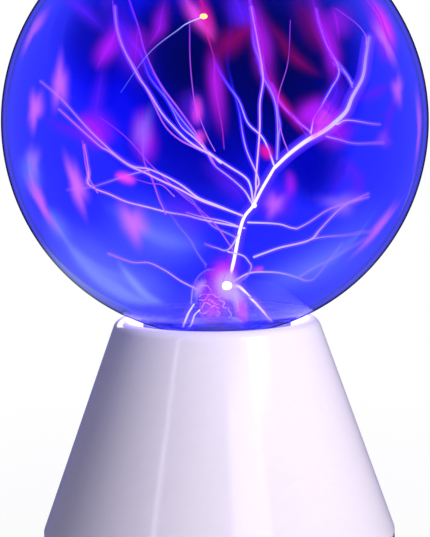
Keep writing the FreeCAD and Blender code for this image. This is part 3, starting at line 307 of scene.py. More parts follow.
world = bpy.data.worlds.new("studio")
scene.world = world
world.use_nodes = True
world.node_tree.nodes.clear()
room = addNode(world, "Background", {"Color": toLinear(studio["roomTone"]), "Strength": studio["roomStrength"]})
white = addNode(world, "Background", {"Color": toLinear(studio["backdrop"]), "Strength": 1.0})
gloss = addNode(world, "Background", {"Color": studio["glossTone"], "Strength": 1.0})
roomSeen, roomGlossy = seenShare(world)
backdrop = mixShaders(world, roomSeen, mixShaders(world, roomGlossy, room, gloss), white)
addNode(world, "OutputWorld", {}, {"Surface": backdrop.outputs[0]})

floorMesh = bpy.data.meshes.new("floor")
floorMesh.from_pydata([(-4, -4, 0), (4, -4, 0), (4, 4, 0), (-4, 4, 0)], [], [(0, 1, 2, 3)])
floor = bpy.data.objects.new("floor", floorMesh)
scene.collection.objects.link(floor)
floorFinish = newFinish("paleStudioFloor")   # matt near the foot, where it takes the shadow, and backdrop white far off
mattFloor = addNode(floorFinish, "BsdfDiffuse", {"Color": toLinear(studio["floorTone"])})
whiteFloor = evenLight(floorFinish, toLinear(studio["backdrop"]))
floorGloss = evenLight(floorFinish, studio["glossTone"])
floorPlace = addNode(floorFinish, "TexCoord")
floorFar = addNode(floorFinish, "VectorMath", {"operation": "LENGTH"}, {0: floorPlace.outputs["Object"]})
floorFade = spread(floorFinish, floorFar.outputs["Value"], studio["floorReach"], studio["floorWhite"])
floorSeen, floorGlossy = seenShare(floorFinish)
floorShare = addNode(floorFinish, "Math", {"operation": "MULTIPLY"}, {0: floorSeen, 1: floorFade})
floorUnseen = mixShaders(floorFinish, floorGlossy, mattFloor, floorGloss)
closeFinish(floorFinish, mixShaders(floorFinish, floorShare.outputs[0], floorUnseen, whiteFloor))
floorMesh.materials.append(floorFinish)

lampObjects = []
for lampName, lamp in lamps.items():
    light = bpy.data.lights.new(lampName, "AREA")
    light.shape = "RECTANGLE"
    light.size, light.size_y = lamp["size"]
    light.energy = lamp["power"]
    light.color = toLinear(lamp["tone"])[:3]
    lightObject = bpy.data.objects.new(lampName, light)
    stand = np.array(lamp["place"])
    back = stand - np.array(lamp["aim"])
    back /= np.linalg.norm(back)
    side = np.cross((0, 0, 1), back)
    side /= np.linalg.norm(side)
    turn = np.stack([side, np.cross(back, side), back], 1)
    lightObject.matrix_world = Matrix.Translation(stand) @ Matrix(turn.tolist()).to_4x4()
    lightObject.visible_camera = False
    lampObjects.append(lightObject)
    scene.collection.objects.link(lightObject)
print("camera, floor and lamps stand")


# ---- the blown glass

globeLow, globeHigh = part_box("globe_shell")
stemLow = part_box("electrode_stem")[0]
glassForm = {"wall": 1.6, "neckRadius": 17.0, "neckTurn": 3.0, "segments": 192}
globeRadius = min(globeHigh.x - globeLow.x, globeHigh.y - globeLow.y) / 2 / millimetre
globeCentre = globeHigh.z / millimetre - globeRadius
neckBottom = globeLow.z / millimetre
stemForm = {
    "bottom": stemLow.z / millimetre,
    "domeRadius": 8.6,
    "tubeRadius": 11.0,
    "wall": 1.4,
    "domeHeight": 93.4,     # centre of the dome
    "shoulderTop": 86.0,
    "shoulderBottom": 81.0,
    "flareRadius": 3.0,
    "segments": 128,
}


def globeSide(inset, bottom):
    # crown, sphere, the hollow turn and the neck, all moved in by inset
    turnRadius = glassForm["neckRadius"] + glassForm["neckTurn"]
    drop = math.sqrt((globeRadius + glassForm["neckTurn"]) ** 2 - turnRadius ** 2)
    lean = math.degrees(math.atan2(drop, turnRadius))
    neck = glassForm["neckRadius"] - inset
    sphere = arcOf((0, globeCentre), globeRadius - inset, 90, -lean, 150)
    sphere[0, 0] = 0.0
    turn = arcOf((turnRadius, globeCentre - drop), glassForm["neckTurn"] + inset, 180 - lean, 180, 14)
    wall = np.linspace((neck, globeCentre - drop), (neck, bottom), 10)
    return np.vstack([sphere, turn[1:], wall[1:]])


def stemSide(inset, bottom):
    # dome, narrow tube, shoulder (half a cosine wave) and tube, moved in by inset; a negative inset lies outside
    dome = stemForm["domeRadius"] - inset
    wide = stemForm["tubeRadius"] - inset
    top, low = stemForm["shoulderTop"], stemForm["shoulderBottom"]
    crown = arcOf((0, stemForm["domeHeight"]), dome, 90, 0, 28)
    crown[0, 0] = 0.0
    narrow = np.linspace((dome, stemForm["domeHeight"]), (dome, top), 6)
    share = np.linspace(0, 1, 16)
    bend = np.stack([dome + (wide - dome) * (1 - np.cos(np.pi * share)) / 2, top + (low - top) * share], -1)
    straight = np.linspace((wide, low), (wide, bottom), 10)
    return np.vstack([crown, narrow[1:], bend[1:], straight[1:]])


def blownGlass(name, settings):
    # soda-lime glass, fire polished: clear, smooth, with faint long waves left by the blowing, and a faint painted glow
    finish = newFinish(name)
    bump = addNode(finish, "Bump", {"Strength": settings["waveStrength"], "Distance": 0.0002},
                   {"Height": grainOf(finish, settings["waveLength"], 1.0, 0.4)})
    glass = addNode(finish, "BsdfPrincipled", {
        "Base Color": toLinear(settings["tone"]),
        "Roughness": 0.0,
        "IOR": settings["ior"],
        "Transmission Weight": 1.0,
        "Specular Tint": toLinear(settings["sheen"]),
        # painted glow: the glass itself gives off a faint light
        "Emission Color": toLinear(settings["paintedGlowTone"]),
        "Emission Strength": settings["glow"],
    }, {"Normal": bump.outputs["Normal"]})
    if "edge" not in settings:
        return closeFinish(finish, glass)
    # painted at the outline: the glass is tinted blue two millimetres from it, and the last one is a dark painted
    # shade; both stand in for light that runs along inside the wall
    slant = addNode(finish, "LayerWeight", {"Blend": 0.5}).outputs["Facing"]
    paintedOutlineTint = mixTones(finish, spread(finish, slant, settings["paintedOutlineBlueSlant"]), settings["tone"], settings["paintedOutlineBlue"])
    finish.node_tree.links.new(paintedOutlineTint, glass.inputs["Base Color"])
    dark = addNode(finish, "BsdfDiffuse", {"Color": toLinear(settings["edge"])})
    outlined = mixShaders(finish, spread(finish, slant, settings["paintedOutlineShadeSlant"], (0.0, 0.92)), glass, dark)
    # painted blue: the wall's body takes red and green out, so what is seen through it takes the blue of the glowing
    # gas
    body = addNode(finish, "VolumeAbsorption", {"Color": settings["paintedBodyBlue"], "Density": settings["density"]})
    return closeFinish(finish, outlined, body)


outerGlass = globeSide(0.0, neckBottom)
innerGlass = globeSide(glassForm["wall"], neckBottom)
globeGlass = makePiece("globeGlass", *lathe(np.vstack([outerGlass, innerGlass[::-1]]), glassForm["segments"]))
# the globe glass: a faint painted blue glow, a painted blue body, and painted blue and a dark painted shade (edge) at
# its outline
globeGlass.data.materials.append(blownGlass("blownSodaLimeGlass", {
    "tone": "#ffffff", "ior": 1.5, "sheen": "#3c3c66", "paintedGlowTone": "#2030ff", "glow": 0.035,
    "waveLength": 34, "waveStrength": 0.04, "paintedOutlineBlue": "#3c3cff", "paintedOutlineBlueSlant": (0.79, 0.85),
    "edge": "#04041c", "paintedOutlineShadeSlant": (0.85, 0.90), "density": 680.0, "paintedBodyBlue": (0.0, 0.05, 1.0, 1.0)}))
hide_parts("globe_shell")

flareHeight = stemForm["bottom"] + stemForm["wall"] + stemForm["flareRadius"]
flareCentre = (stemForm["tubeRadius"] + stemForm["flareRadius"], flareHeight)
flareOuter = arcOf(flareCentre, stemForm["flareRadius"], 180, 270, 8)
flareInner = arcOf(flareCentre, stemForm["flareRadius"] + stemForm["wall"], 270, 180, 8)
flareEdge = glassForm["neckRadius"]
stemProfile = np.vstack([
    stemSide(0.0, flareHeight),
    flareOuter[1:],
    [(flareEdge, flareOuter[-1, 1]), (flareEdge, stemForm["bottom"])],
    flareInner,
    stemSide(stemForm["wall"], flareHeight)[::-1][1:],
])
stemGlass = makePiece("stemGlass", *lathe(stemProfile, stemForm["segments"]))
# the tube glass gives off a faint painted violet glow
tubeGlass = {"tone": "#f6f6ff", "ior": 1.5, "sheen": "#b0b0d8", "paintedGlowTone": "#6030ff", "glow": 0.02, "waveLength": 9}
stemGlass.data.materials.append(blownGlass("drawnTubeGlass", {**tubeGlass, "waveStrength": 0.08}))
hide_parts("electrode_stem")
print("glass blown")


# ---- the gas: clear, but it takes red and green out of the light that crosses it, so the globe looks blue, a painted blue that stands in for the gas's own glow

gasForm = {
    "gap": 0.2,                        # clear of the glass
    "bottom": 62.0,
    "segments": 160,
    "wallKeeps": (0.33, 0.36, 1.0),    # share of red, green and blue that one crossing of the wall lets by
    "lossPerMillimetre": (0.014, 0.014, 0.0),
    "density": 14.0,                    # per metre, times one minus the colour below
    "tone": (0.0, 0.0, 1.0, 1.0),
}


def clearGas(name, tone, density):
    # bends no light, only takes some of its colours
    finish = newFinish(name)
    skin = addNode(finish, "BsdfPrincipled", {"Base Color": (1.0, 1.0, 1.0, 1.0), "Roughness": 0.0, "IOR": 1.0,
                                              "Transmission Weight": 1.0})
    return closeFinish(finish, skin, addNode(finish, "VolumeAbsorption", {"Color": tone, "Density": density}))


gasSide = globeSide(glassForm["wall"] + gasForm["gap"], gasForm["bottom"])
gasCore = stemSide(-gasForm["gap"], gasForm["bottom"])
gas = makePiece("gasFill", *lathe(np.vstack([gasSide, gasCore[::-1]]), gasForm["segments"]))
# painted blue: the gas only filters what lies behind it, standing in for its own glow
gas.data.materials.append(clearGas("glowingNeonMix", gasForm["tone"], gasForm["density"]))


def throughGas(colour, points):
    # light from a depth d under the glass keeps wall * exp(-loss * d) on its way out, so it starts that much stronger
    depth = (globeRadius - np.linalg.norm(points, axis=1))[:, None]
    kept = np.array(gasForm["wallKeeps"]) * np.exp(-np.array(gasForm["lossPerMillimetre"]) * depth)
    light = np.asarray(colour)[..., :3] / kept
    return np.concatenate([light, np.ones((len(points), 1))], 1)


def about(centre, points):
    # millimetres about the middle of the globe, as places in the frame
    return np.asarray(points, float) + np.array([0, 0, centre])


# ---- painted shade where little discharge runs: closed lobed clouds that take light out, one inside another so that their edges stay soft

cloudGrid = (34, 56)
# painted shade: each kind darkens the gas inside its clouds
paintedShadeClouds = {
    # a cloud takes density times one minus tone of red, green and blue per metre; nested: sizes of the shells in it
    "upper": {"density": 20.0, "tone": (0.0, 0.0, 0.86, 1.0), "nested": (1.0, 0.82, 0.62), "lobes": [
        {"middle": (-2, 19, 22), "size": (55, 38, 45), "lobing": 0.03},
        {"middle": (42, 15, 18), "size": (15, 23, 25), "lobing": 0.05},
        {"middle": (-42, 12, 26), "size": (13, 21, 21), "lobing": 0.05}]},
    "dark": {"density": 15.0, "tone": (0.0, 0.0, 0.0, 1.0), "nested": (1.3, 1.1, 0.92, 0.74, 0.56), "lobes": [
        {"middle": (20, 22, 25), "size": (30, 22, 30), "lobing": 0.13},
        {"middle": (-14, 22, 26), "size": (15, 15, 20), "lobing": 0.12}]},
    "deep": {"density": 16.0, "tone": (0.0, 0.0, 0.5, 1.0), "nested": (1.3, 1.0, 0.7), "lobes": [
        {"middle": (-38, 2, 32), "size": (16, 15, 14), "lobing": 0.1},
        {"middle": (33, 8, -9), "size": (13, 22, 17), "lobing": 0.15},
        {"middle": (-5, 17, -11), "size": (24, 17, 20), "lobing": 0.1}]},
}


def lobedCloud(cloud, share):
    # r = 1 + k cos 3a sin 2b sin b + 0.6 k cos(5a + 2) sin 3b sin b
    k = cloud["lobing"]
    points, faces = swollenBall(*cloudGrid, lambda a, b: (
        1 + k * np.cos(3 * a) * np.sin(2 * b) * np.sin(b) + 0.6 * k * np.cos(5 * a + 2) * np.sin(3 * b) * np.sin(b)))
    return about(globeCentre, points * np.array(cloud["size"]) * share + np.array(cloud["middle"])), faces


clouds = []
for cloudName, kind in paintedShadeClouds.items():
    finish = clearGas(cloudName + "PaintedShadeGas", kind["tone"], kind["density"])
    for number, share in enumerate(kind["nested"]):
        for lobeNumber, lobe in enumerate(kind["lobes"]):
            cloud = makePiece(f"{cloudName}Gas{lobeNumber}{number}", *lobedCloud(lobe, share))
            cloud.data.materials.append(finish)
            clouds.append(cloud)
print("gas filled")


# ---- the electrode: a tangle of steel wool in the dome

woolForm = {
    "strands": 150,
    "steps": 46,
    "wire": 0.09,
    "reach": 6.9,
    "low": 80.5,
    "high": 99.9,
    "curl": (0.8, 2.6),
    "paintedGlintSpan": 8,          # points of a strand that share one painted glint
    "curlWire": 0.09,
    # painted light on the wool: the curls' pink-white, a faint even blue on every strand and the glints
    "paintedCurlLight": (2.6, 0.9, 1.9),
    "evenLight": (0.0, 0.0, 0.12),
    "paintedGlintLight": (0.35, 0.02, 0.4),
}
# pools of painted light on the wool, round the brightest streamer's root and the curls under it, as place, reach and
# light
paintedWoolLightPools = [((2.6, -7.0, 94.6), 4.2, (0.9, 0.05, 0.6)), ((-3.5, -5.0, 85.5), 3.0, (1.1, 0.08, 0.7))]


def woolStrand():
    # a helix whose axis drifts in a slow arc, then drawn in with tanh so that it stays inside the tube and its dome
    t = np.linspace(0, 1, woolForm["steps"])[:, None]
    start = np.array([dice.uniform(-5, 5), dice.uniform(-5, 5), dice.uniform(woolForm["low"], woolForm["high"])])
    drift = dice.normal(0, 1, 3) * np.array([7, 7, 9])
    sway = dice.normal(0, 1, 3) * 4
    curl = dice.uniform(*woolForm["curl"])
    turns = dice.uniform(1.0, 3.4) * 2 * np.pi
    u = np.cross(drift, (0.3, 0.2, 1.0))
    u /= np.linalg.norm(u)
    v = np.cross(drift / np.linalg.norm(drift), u)
    line = start + drift * (t - 0.5) + sway * np.sin(np.pi * t) + curl * (u * np.cos(turns * t) + v * np.sin(turns * t))
    axisHeight = np.clip(line[:, 2], woolForm["low"], stemForm["domeHeight"])
    axis = np.stack([0 * axisHeight, 0 * axisHeight, axisHeight], 1)
    out = line - axis
    far = np.linalg.norm(out, axis=1)[:, None] + 1e-6
    out *= woolForm["reach"] * np.tanh(far / woolForm["reach"]) / far
    line = out + axis
    line[:, 2] = np.clip(line[:, 2], woolForm["low"], None)
    return tube(line, woolForm["wire"] * dice.uniform(0.7, 1.3), 4)


# a few curls just inside the dome carry painted pink-white light, millimetres about the globe's centre
paintedLitCurls = [
    [(-6, -5, -61), (-5, -6, -60), (-3, -6, -60), (-4, -5.5, -62), (-6, -5, -62)],
    [(-3, -5.5, -62), (-2, -6, -62), (-1, -6, -63), (1, -6, -64)],
    [(-1, -5, -67), (0, -5.5, -66), (1, -5.5, -67), (0, -5.5, -68)],
    [(4, -5, -65), (4, -5.5, -66), (5, -5, -68), (4, -5, -69)],
    [(-5, -5, -65), (-4, -5.5, -63), (-2, -5.5, -64)],
    [(-6, -3, -58), (-5, -4.8, -57), (-3, -6, -57), (-2, -6, -58.5)],
    [(-3, -6, -60), (-1, -6.5, -60), (0, -6.5, -61), (1.5, -6.5, -60.5)],
    [(1, -6.5, -62), (2.5, -6, -63), (2, -6.2, -64.5), (3.5, -5.8, -65)],
    [(-6.2, -2, -66), (-5.5, -4, -67), (-4, -5.5, -67), (-3, -6, -66)],
    [(-2, -6, -65), (-1, -6.3, -64), (0.5, -6.4, -65)],
]
curls = [tube(about(globeCentre, smoothLine(stops, 6)), woolForm["curlWire"], 4) for stops in paintedLitCurls]
curlCount = sum(len(points) for points, faces in curls)
woolPoints, woolFaces = gather(curls + [woolStrand() for _ in range(woolForm["strands"])])
# painted glints at random along the strands, over the faint even blue, then the painted pools and the bright curls
paintedGlint = dice.uniform(0, 1, (len(woolPoints) // woolForm["paintedGlintSpan"] + 1, 1))
paintedGlint = paintedGlint.repeat(woolForm["paintedGlintSpan"], 0)[:len(woolPoints)] ** 3
paintedWoolLight = paintedGlint * np.array(woolForm["paintedGlintLight"]) + np.array(woolForm["evenLight"])
for place, reach, light in paintedWoolLightPools:
    near = np.exp(-np.sum((woolPoints - np.array(place)) ** 2, 1) / (2 * reach ** 2))[:, None]
    paintedWoolLight = paintedWoolLight + near * np.array(light)
paintedWoolLight[:curlCount] = woolForm["paintedCurlLight"]
wool = makePiece("woolTangle", woolPoints, woolFaces,
                 {"glow": throughGas(paintedWoolLight, woolPoints - np.array([0, 0, globeCentre]))})
woolFinish = newFinish("paintedLitSteelWool")   # drawn low-carbon steel wire, grey, with painted pink light standing in for the discharge round it
woolGlow = addNode(woolFinish, "Attribute", {"attribute_name": "glow"})
closeFinish(woolFinish, addNode(
    woolFinish, "BsdfPrincipled", {"Base Color": toLinear("#b9b4b6"), "Metallic": 1.0, "Emission Strength": 1.0},
    {"Roughness": spread(woolFinish, grainOf(woolFinish, 0.6, 2.0), toEnds=(0.25, 0.5)),
     "Emission Color": woolGlow.outputs["Color"]}))
wool.data.materials.append(woolFinish)
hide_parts("steel_wool")
print("wool tangled")


# ---- the streamers: thin crooked lines of light from the dome to the glass

def softLight(name):
    # light whose tone and firmness are painted on the mesh
    finish = newFinish(name)
    tone = addNode(finish, "Attribute", {"attribute_name": "glow"})
    lit = addNode(finish, "Emission", {"Strength": 1.0}, {"Color": tone.outputs["Color"]})
    return closeFinish(finish, mixShaders(finish, tone.outputs["Alpha"], addNode(finish, "BsdfTransparent"), lit))


def glowingGas(name, tone, strength, edge):
    # a thin even glow in the gas round a streamer; its skin lets almost everything by
    finish = newFinish(name)
    skin = addNode(finish, "MixShader", {0: edge}, {1: addNode(finish, "BsdfTransparent").outputs[0],
                                                    2: evenLight(finish, toLinear(tone)).outputs[0]})
    return closeFinish(finish, skin, evenLight(finish, toLinear(tone), strength))


streamForm = {
    "sides": 8,
    "perSpan": 9,
    "core": 0.36,            # radius of the bright core as a share of the width
    "wander": 0.35,
    "waves": (30.0, 14.0),   # lengths of the sideways wander
    "glow": {"past": 0.6, "sides": 8, "tone": "#a060ff", "strength": 560.0, "edge": 0.01},
    "heat": {"past": 1.8, "sides": 10, "tone": "#b060ff", "strength": 170.0, "edge": 0.005},
    "glowless": ("fibre", "ember", "pale"),
    "hot": ("white", "silver"),
}
# tone at the first and the last stop, how firm the line is at each, and how bright
streamerTones = {
    "white": ("#fff8ff", "#d4ccff", 1.0, 1.0, 2.0),
    "silver": ("#f4f0ff", "#8a70ff", 1.0, 0.7, 1.3),
    "lilac": ("#dcd4ff", "#a45cff", 0.95, 0.5, 1.2),
    "violet": ("#a890ff", "#7a48ff", 0.8, 0.45, 1.2),
    "rose": ("#d884ff", "#ff40c0", 0.7, 0.5, 1.2),
    "pale": ("#b8c4ff", "#5a68ff", 0.95, 0.25, 1.2),
    "pink": ("#e8ccff", "#d060f0", 0.9, 0.5, 1.2),
    "fibre": ("#d070f8", "#a838ff", 0.6, 0.4, 1.1),
    "ember": ("#b02cc8", "#e01888", 0.5, 0.35, 0.9),
}
# tone, diameters spread from the first to the last stop, sideways wander, stops in millimetres about the globe's centre
streamers = [
    ("white", (1.7, 1.4, 1.3), 0.25, [(4, -8, -56), (6, -10, -48), (8, -12, -38), (10, -13, -32), (13, -14, -28),
        (16, -17, -22), (20, -20, -15)]),
    ("silver", (1.5, 2.0, 1.5, 1.1), 0.3, [(20, -20, -15), (25, -24, -10), (30, -27, -6), (35, -30, -3), (39, -33, 0),
        (43, -36, 4), (45, -38, 9), (48, -40, 15), (49, -41, 22), (50, -40, 28)]),
    ("lilac", (0.8, 0.5), 0.5, [(20, -20, -14), (17, -16, -6), (12, -10, 0), (8, -2, 9), (3, 6, 16), (0, 12, 23)]),
    ("pink", (0.8, 0.5), 0.5, [(13, -14, -28), (14, -12, -23), (15, -8, -19), (11, 2, -9), (9, 12, 3), (7, 20, 12),
        (5, 24, 22), (6, 28, 33), (6, 30, 41)]),
    ("pink", (0.8, 0.6), 0.5, [(14, -13, -23), (14, -16, -18), (15, -24, -3), (15, -30, 7), (16, -36, 16),
        (14, -42, 27), (12, -44, 38)]),
    ("violet", (0.7, 0.4), 0.5, [(21, -20, -12), (22, -14, -3), (22, -8, 4), (19, 4, 15), (15, 14, 23)]),
    ("rose", (0.6, 0.5), 0.6, [(31, -27, -6), (32, -28, -3), (28, -20, 1), (23, -10, 7), (20, 0, 14)]),
    ("lilac", (0.7, 0.5), 0.6, [(32, -28, -3), (33, -30, 2), (36, -30, 6), (39, -30, 12), (41, -30, 18),
        (37, -32, 26), (35, -30, 33), (34, -28, 38)]),
    ("violet", (0.5, 0.35), 0.5, [(45, -39, 13), (42, -30, 19), (39, -24, 23)]),
    ("lilac", (0.6, 0.4), 0.5, [(40, -34, 0), (43, -38, 1), (53, -46, 0)]),
    ("violet", (0.6, 0.4), 0.5, [(37, -31, -4), (44, -34, -6), (54, -46, -6)]),
    ("lilac", (0.8, 0.5), 0.5, [(11, -13, -34), (21, -20, -34), (26, -26, -35), (29, -30, -34), (37, -38, -28),
        (49, -48, -23)]),
    ("lilac", (0.9, 0.5), 0.5, [(13, -14, -46), (21, -24, -42), (31, -36, -38), (34, -42, -34), (41, -48, -26),
        (49, -48, -22)]),
    ("violet", (0.5, 0.35), 0.5, [(31, -36, -38), (41, -40, -36), (50, -39, -35)]),
    ("lilac", (0.9, 0.5), 0.5, [(6, -9, -55), (12, -10, -52), (20, -8, -52), (29, -2, -55), (33, 4, -57),
        (36, 8, -56), (43, 14, -49), (47, 20, -45)]),
    ("lilac", (0.7, 0.5), 0.3, [(8, -12, -38), (4, -18, -43), (0, -20, -42), (-4, -16, -41)]),
    ("lilac", (0.7, 0.6), 0.3, [(4, -14, -44), (9, -18, -45), (11, -19, -47), (12, -18, -49), (10, -14, -53),
        (6, -9, -56)]),
    ("violet", (0.7, 0.4), 0.3, [(7, -7, -57), (11, -12, -60), (14, -18, -61), (18, -24, -66)]),
    ("lilac", (0.9, 0.6), 0.7, [(13, -14, -28), (12, -14, -21), (10, -16, -18), (3, -22, -13), (-5, -28, -8),
        (-12, -34, -2), (-17, -38, 4), (-22, -42, 12), (-25, -44, 17), (-28, -46, 23), (-31, -44, 31),
        (-32, -38, 39)]),
    ("lilac", (0.7, 0.5), 0.7, [(2, -21, -13), (-4, -12, -8), (-12, 2, 0), (-18, 12, 10), (-24, 20, 22),
        (-27, 26, 30), (-31, 28, 45)]),
    ("pink", (0.8, 0.5), 0.7, [(13, -14, -28), (9, -8, -22), (0, 4, -15), (-4, 10, -9), (-13, 22, 1), (-20, 32, 12),
        (-26, 38, 24)]),
    ("lilac", (0.9, 0.5), 0.7, [(10, -13, -32), (0, -24, -27), (-6, -30, -24), (-12, -36, -19), (-21, -42, -14),
        (-28, -46, -12), (-38, -50, -3), (-49, -46, 9), (-56, -42, 15)]),
    ("violet", (0.7, 0.5), 0.6, [(8, -11, -40), (-2, -6, -35), (-8, 4, -28), (-14, 12, -24), (-25, 26, -18),
        (-41, 42, -10)]),
    ("pink", (0.8, 0.5), 0.6, [(10, -13, -36), (-5, -8, -33), (-16, -18, -30), (-29, -30, -25), (-38, -40, -21),
        (-41, -44, -18), (-40, -58, -13), (-41, -59, -5)]),
    ("pink", (0.7, 0.5), 0.4, [(-7, -7, -58), (-13, -12, -54), (-18, -16, -50), (-23, -20, -47), (-29, -24, -46),
        (-36, -34, -42)]),
    # two painted highlights: the bright edges of the glass stem, where it bends the white behind it, laid as white
    # streamers
    ("white", (0.5, 0.9, 0.7), 0.1, [(-8, -9, -63), (-10, -10, -66), (-11, -11, -68), (-12, -11, -71)]),
    ("white", (0.4, 0.6, 0.5), 0.1, [(-6, -9, -65), (-8, -10, -67), (-9, -11, -70), (-10, -11, -71)]),
    ("white", (1.6, 1.3, 0.5), 0.1, [(3, -9, -56), (5, -9, -57), (8, -9, -57), (12, -11, -61), (16, -14, -65),
        (19, -18, -68)]),
    ("violet", (0.6, 0.4), 0.6, [(-1, 2, -54), (-4, 8, -51), (-11, 18, -41), (-18, 28, -33), (-24, 40, -22),
        (-27, 46, -13), (-28, 66, 0)]),
    ("pale", (0.55, 0.3), 0.3, [(-3, -63, 34), (-8, -64, 32), (-11, -64, 30), (-20, -65, 23), (-29, -65, 11)]),
    ("pink", (0.9, 0.6), 0.3, [(10, -13, -32), (6, -17, -30), (-4, -22, -26), (-13, -28, -21), (-22, -33, -16),
        (-28, -36, -13), (-35, -38, -8), (-39, -40, -5), (-50, -46, 6)]),
    ("fibre", (0.8, 0.5), 0.3, [(6, -11, -44), (0, -12, -35), (-6, -12, -29), (-12, -12, -24), (-18, -12, -18),
        (-23, -12, -13), (-31, -10, -4), (-40, -10, 3)]),
    ("fibre", (0.6, 0.4), 0.2, [(-14, -24, -24), (-18, -26, -20), (-22, -32, -19), (-28, -48, -16)]),
    ("lilac", (0.6, 0.4), 0.2, [(9, -12, -36), (3, -20, -33), (-4, -26, -31), (-10, -30, -29)]),
    ("violet", (0.5, 0.3), 0.3, [(-21, -42, -14), (-30, -45, -16), (-40, -46, -19), (-48, -45, -20)]),
    ("violet", (0.5, 0.3), 0.3, [(29, -2, -55), (34, -14, -50), (42, -24, -44), (50, -32, -38)]),
    ("fibre", (0.6, 0.4), 0.3, [(25, -24, -10), (22, -28, -2), (21, -32, 8), (24, -36, 20), (25, -36, 34)]),
    # a painted highlight: a thin line of light along the outline of the glass dome, laid as a streamer
    ("lilac", (0.4, 0.4), 0.0, [(-9.2, -2, -64), (-8.4, -2.5, -58), (-6, -3, -54), (-3, -3.5, -52), (0, -5, -51.5)]),
    ("fibre", (0.5, 0.7), 0.1, [(-38, -48, -21), (-41, -51, -14), (-42, -54, -4)]),
    ("fibre", (0.8, 0.6), 0.2, [(-4, -20, -9), (-12, -20, -5), (-17, -20, 0), (-22, -20, 10), (-27, -22, 20),
        (-32, -22, 29), (-34, -20, 42)]),
    ("fibre", (0.9, 0.8), 0.2, [(0, -20, -14), (-5, -20, -5), (-12, -18, 5), (-19, -16, 15), (-24, -14, 26),
        (-26, -12, 34), (-29, -10, 43)]),
    ("violet", (0.7, 0.6), 0.2, [(-5, -10, -6), (-11, -6, 1), (-17, -2, 9), (-23, 2, 17), (-26, 6, 25), (-30, 8, 30),
        (-34, 10, 37)]),
    ("fibre", (0.4, 0.6), 0.1, [(0, -20, -9), (-3, -22, -3), (-6, -26, 5), (-7, -28, 10), (-8, -30, 22),
        (-8, -30, 35)]),
    ("ember", (0.5, 0.9), 0.2, [(3, -28, -8), (2, -34, 2), (0, -38, 13), (0, -40, 21), (-2, -42, 29), (-3, -44, 37),
        (-6, -36, 44)]),
    ("fibre", (0.7, 0.7), 0.3, [(-17, -24, -30), (-19, -26, -25), (-21, -28, -18), (-24, -30, -11), (-24, -32, -1)]),
    ("violet", (0.6, 0.5), 0.3, [(21, -22, -12), (21, -26, 0), (20, -30, 8), (16, -32, 16), (15, -32, 21),
        (13, -32, 28), (12, -30, 41)]),
    ("fibre", (0.5, 0.5), 0.3, [(50, -32, 26), (50, -30, 29), (47, -30, 33), (40, -30, 38)]),
    ("violet", (0.4, 0.4), 0.3, [(45, -38, 12), (43, -38, 16), (39, -36, 20)]),
    ("ember", (0.5, 0.9), 0.2, [(31, -26, -4), (25, -26, 4), (20, -28, 11), (17, -30, 18), (16, -32, 26),
        (14, -32, 35), (11, -30, 43)]),
]


def crookedLine(stops, crook):
    # the smooth line through the stops plus a sideways wander, a sum of sines that dies out at both ends
    line = smoothLine(stops, streamForm["perSpan"])
    t = np.linspace(0, 1, len(line))[:, None]
    span = np.linalg.norm(np.diff(line, axis=0), axis=1).sum()
    wander = np.zeros_like(line)
    for waveLength in streamForm["waves"]:
        turns = max(1.0, span / waveLength)
        swing = waveLength / streamForm["waves"][0]
        wander += swing * dice.normal(0, 1, 3) * np.sin(2 * np.pi * turns * t + dice.uniform(0, 6.3))
    return line + streamForm["wander"] * crook * wander * np.sin(np.pi * t) ** 0.5


coreParts, coreLight, sleeves = [], [], {"glow": [], "heat": []}
for toneName, widths, crook, stops in streamers:
    line = crookedLine(stops, crook)
    t = np.linspace(0, 1, len(line))
    width = np.interp(t, np.linspace(0, 1, len(widths)), widths)
    points, faces = tube(line, streamForm["core"] * width, streamForm["sides"])
    coreParts.append((about(globeCentre, points), faces))
    # tone and firmness run from the first to the last ring, and two more points close the ends
    along = np.append(np.repeat(t, streamForm["sides"]), [0, 1])[:, None]
    firstTone, lastTone, *firmness, gain = streamerTones[toneName]
    first, last = (gain * np.array(toLinear(hexTone))[:3] for hexTone in (firstTone, lastTone))
    light = throughGas(first + (last - first) * along, points)
    light[:, 3] = np.interp(along[:, 0], [0, 1], firmness)
    coreLight.append(light)
    for sleeve, wanted in (("glow", toneName not in streamForm["glowless"]), ("heat", toneName in streamForm["hot"])):
        if wanted:
            form = streamForm[sleeve]
            points, faces = tube(line, width / 2 + form["past"], form["sides"])
            sleeves[sleeve].append((about(globeCentre, points), faces))

cores = makePiece("streamerCores", *gather(coreParts), {"glow": np.vstack(coreLight)})
cores.data.materials.append(softLight("streamerLight"))
glow = makePiece("streamerGlow", *gather(sleeves["glow"]))
hotGlow = makePiece("streamerHeat", *gather(sleeves["heat"]))
for piece, sleeve in ((glow, "glow"), (hotGlow, "heat")):
    form = streamForm[sleeve]
    piece.data.materials.append(glowingGas(piece.name, form["tone"], form["strength"], form["edge"]))
print("streamers run,", len(streamers))


# ---- haze: soft bands of glowing gas, and pale ones that paint a reflection along the lower glass, each a flat thin strip that fades to its edges and ends, laid twice, crosswise

hazeForm = {
    "sides": 24,
    "perSpan": 7,
    "reach": 1.9,       # half width of the strip, in half widths of its light
    "falloff": 5,
    "thin": 0.05,
    "facings": ((0, -1, 0), (1, 0, 0)),
}
hazeTones = {
    "magenta": "#c820ff", "pink": "#ff50f0", "rose": "#e818a0", "red": "#900450", "violet": "#6420ff",
    "mist": "#9ab0ff", "navy": "#0000b0", "hot": "#ffd4ff",
}
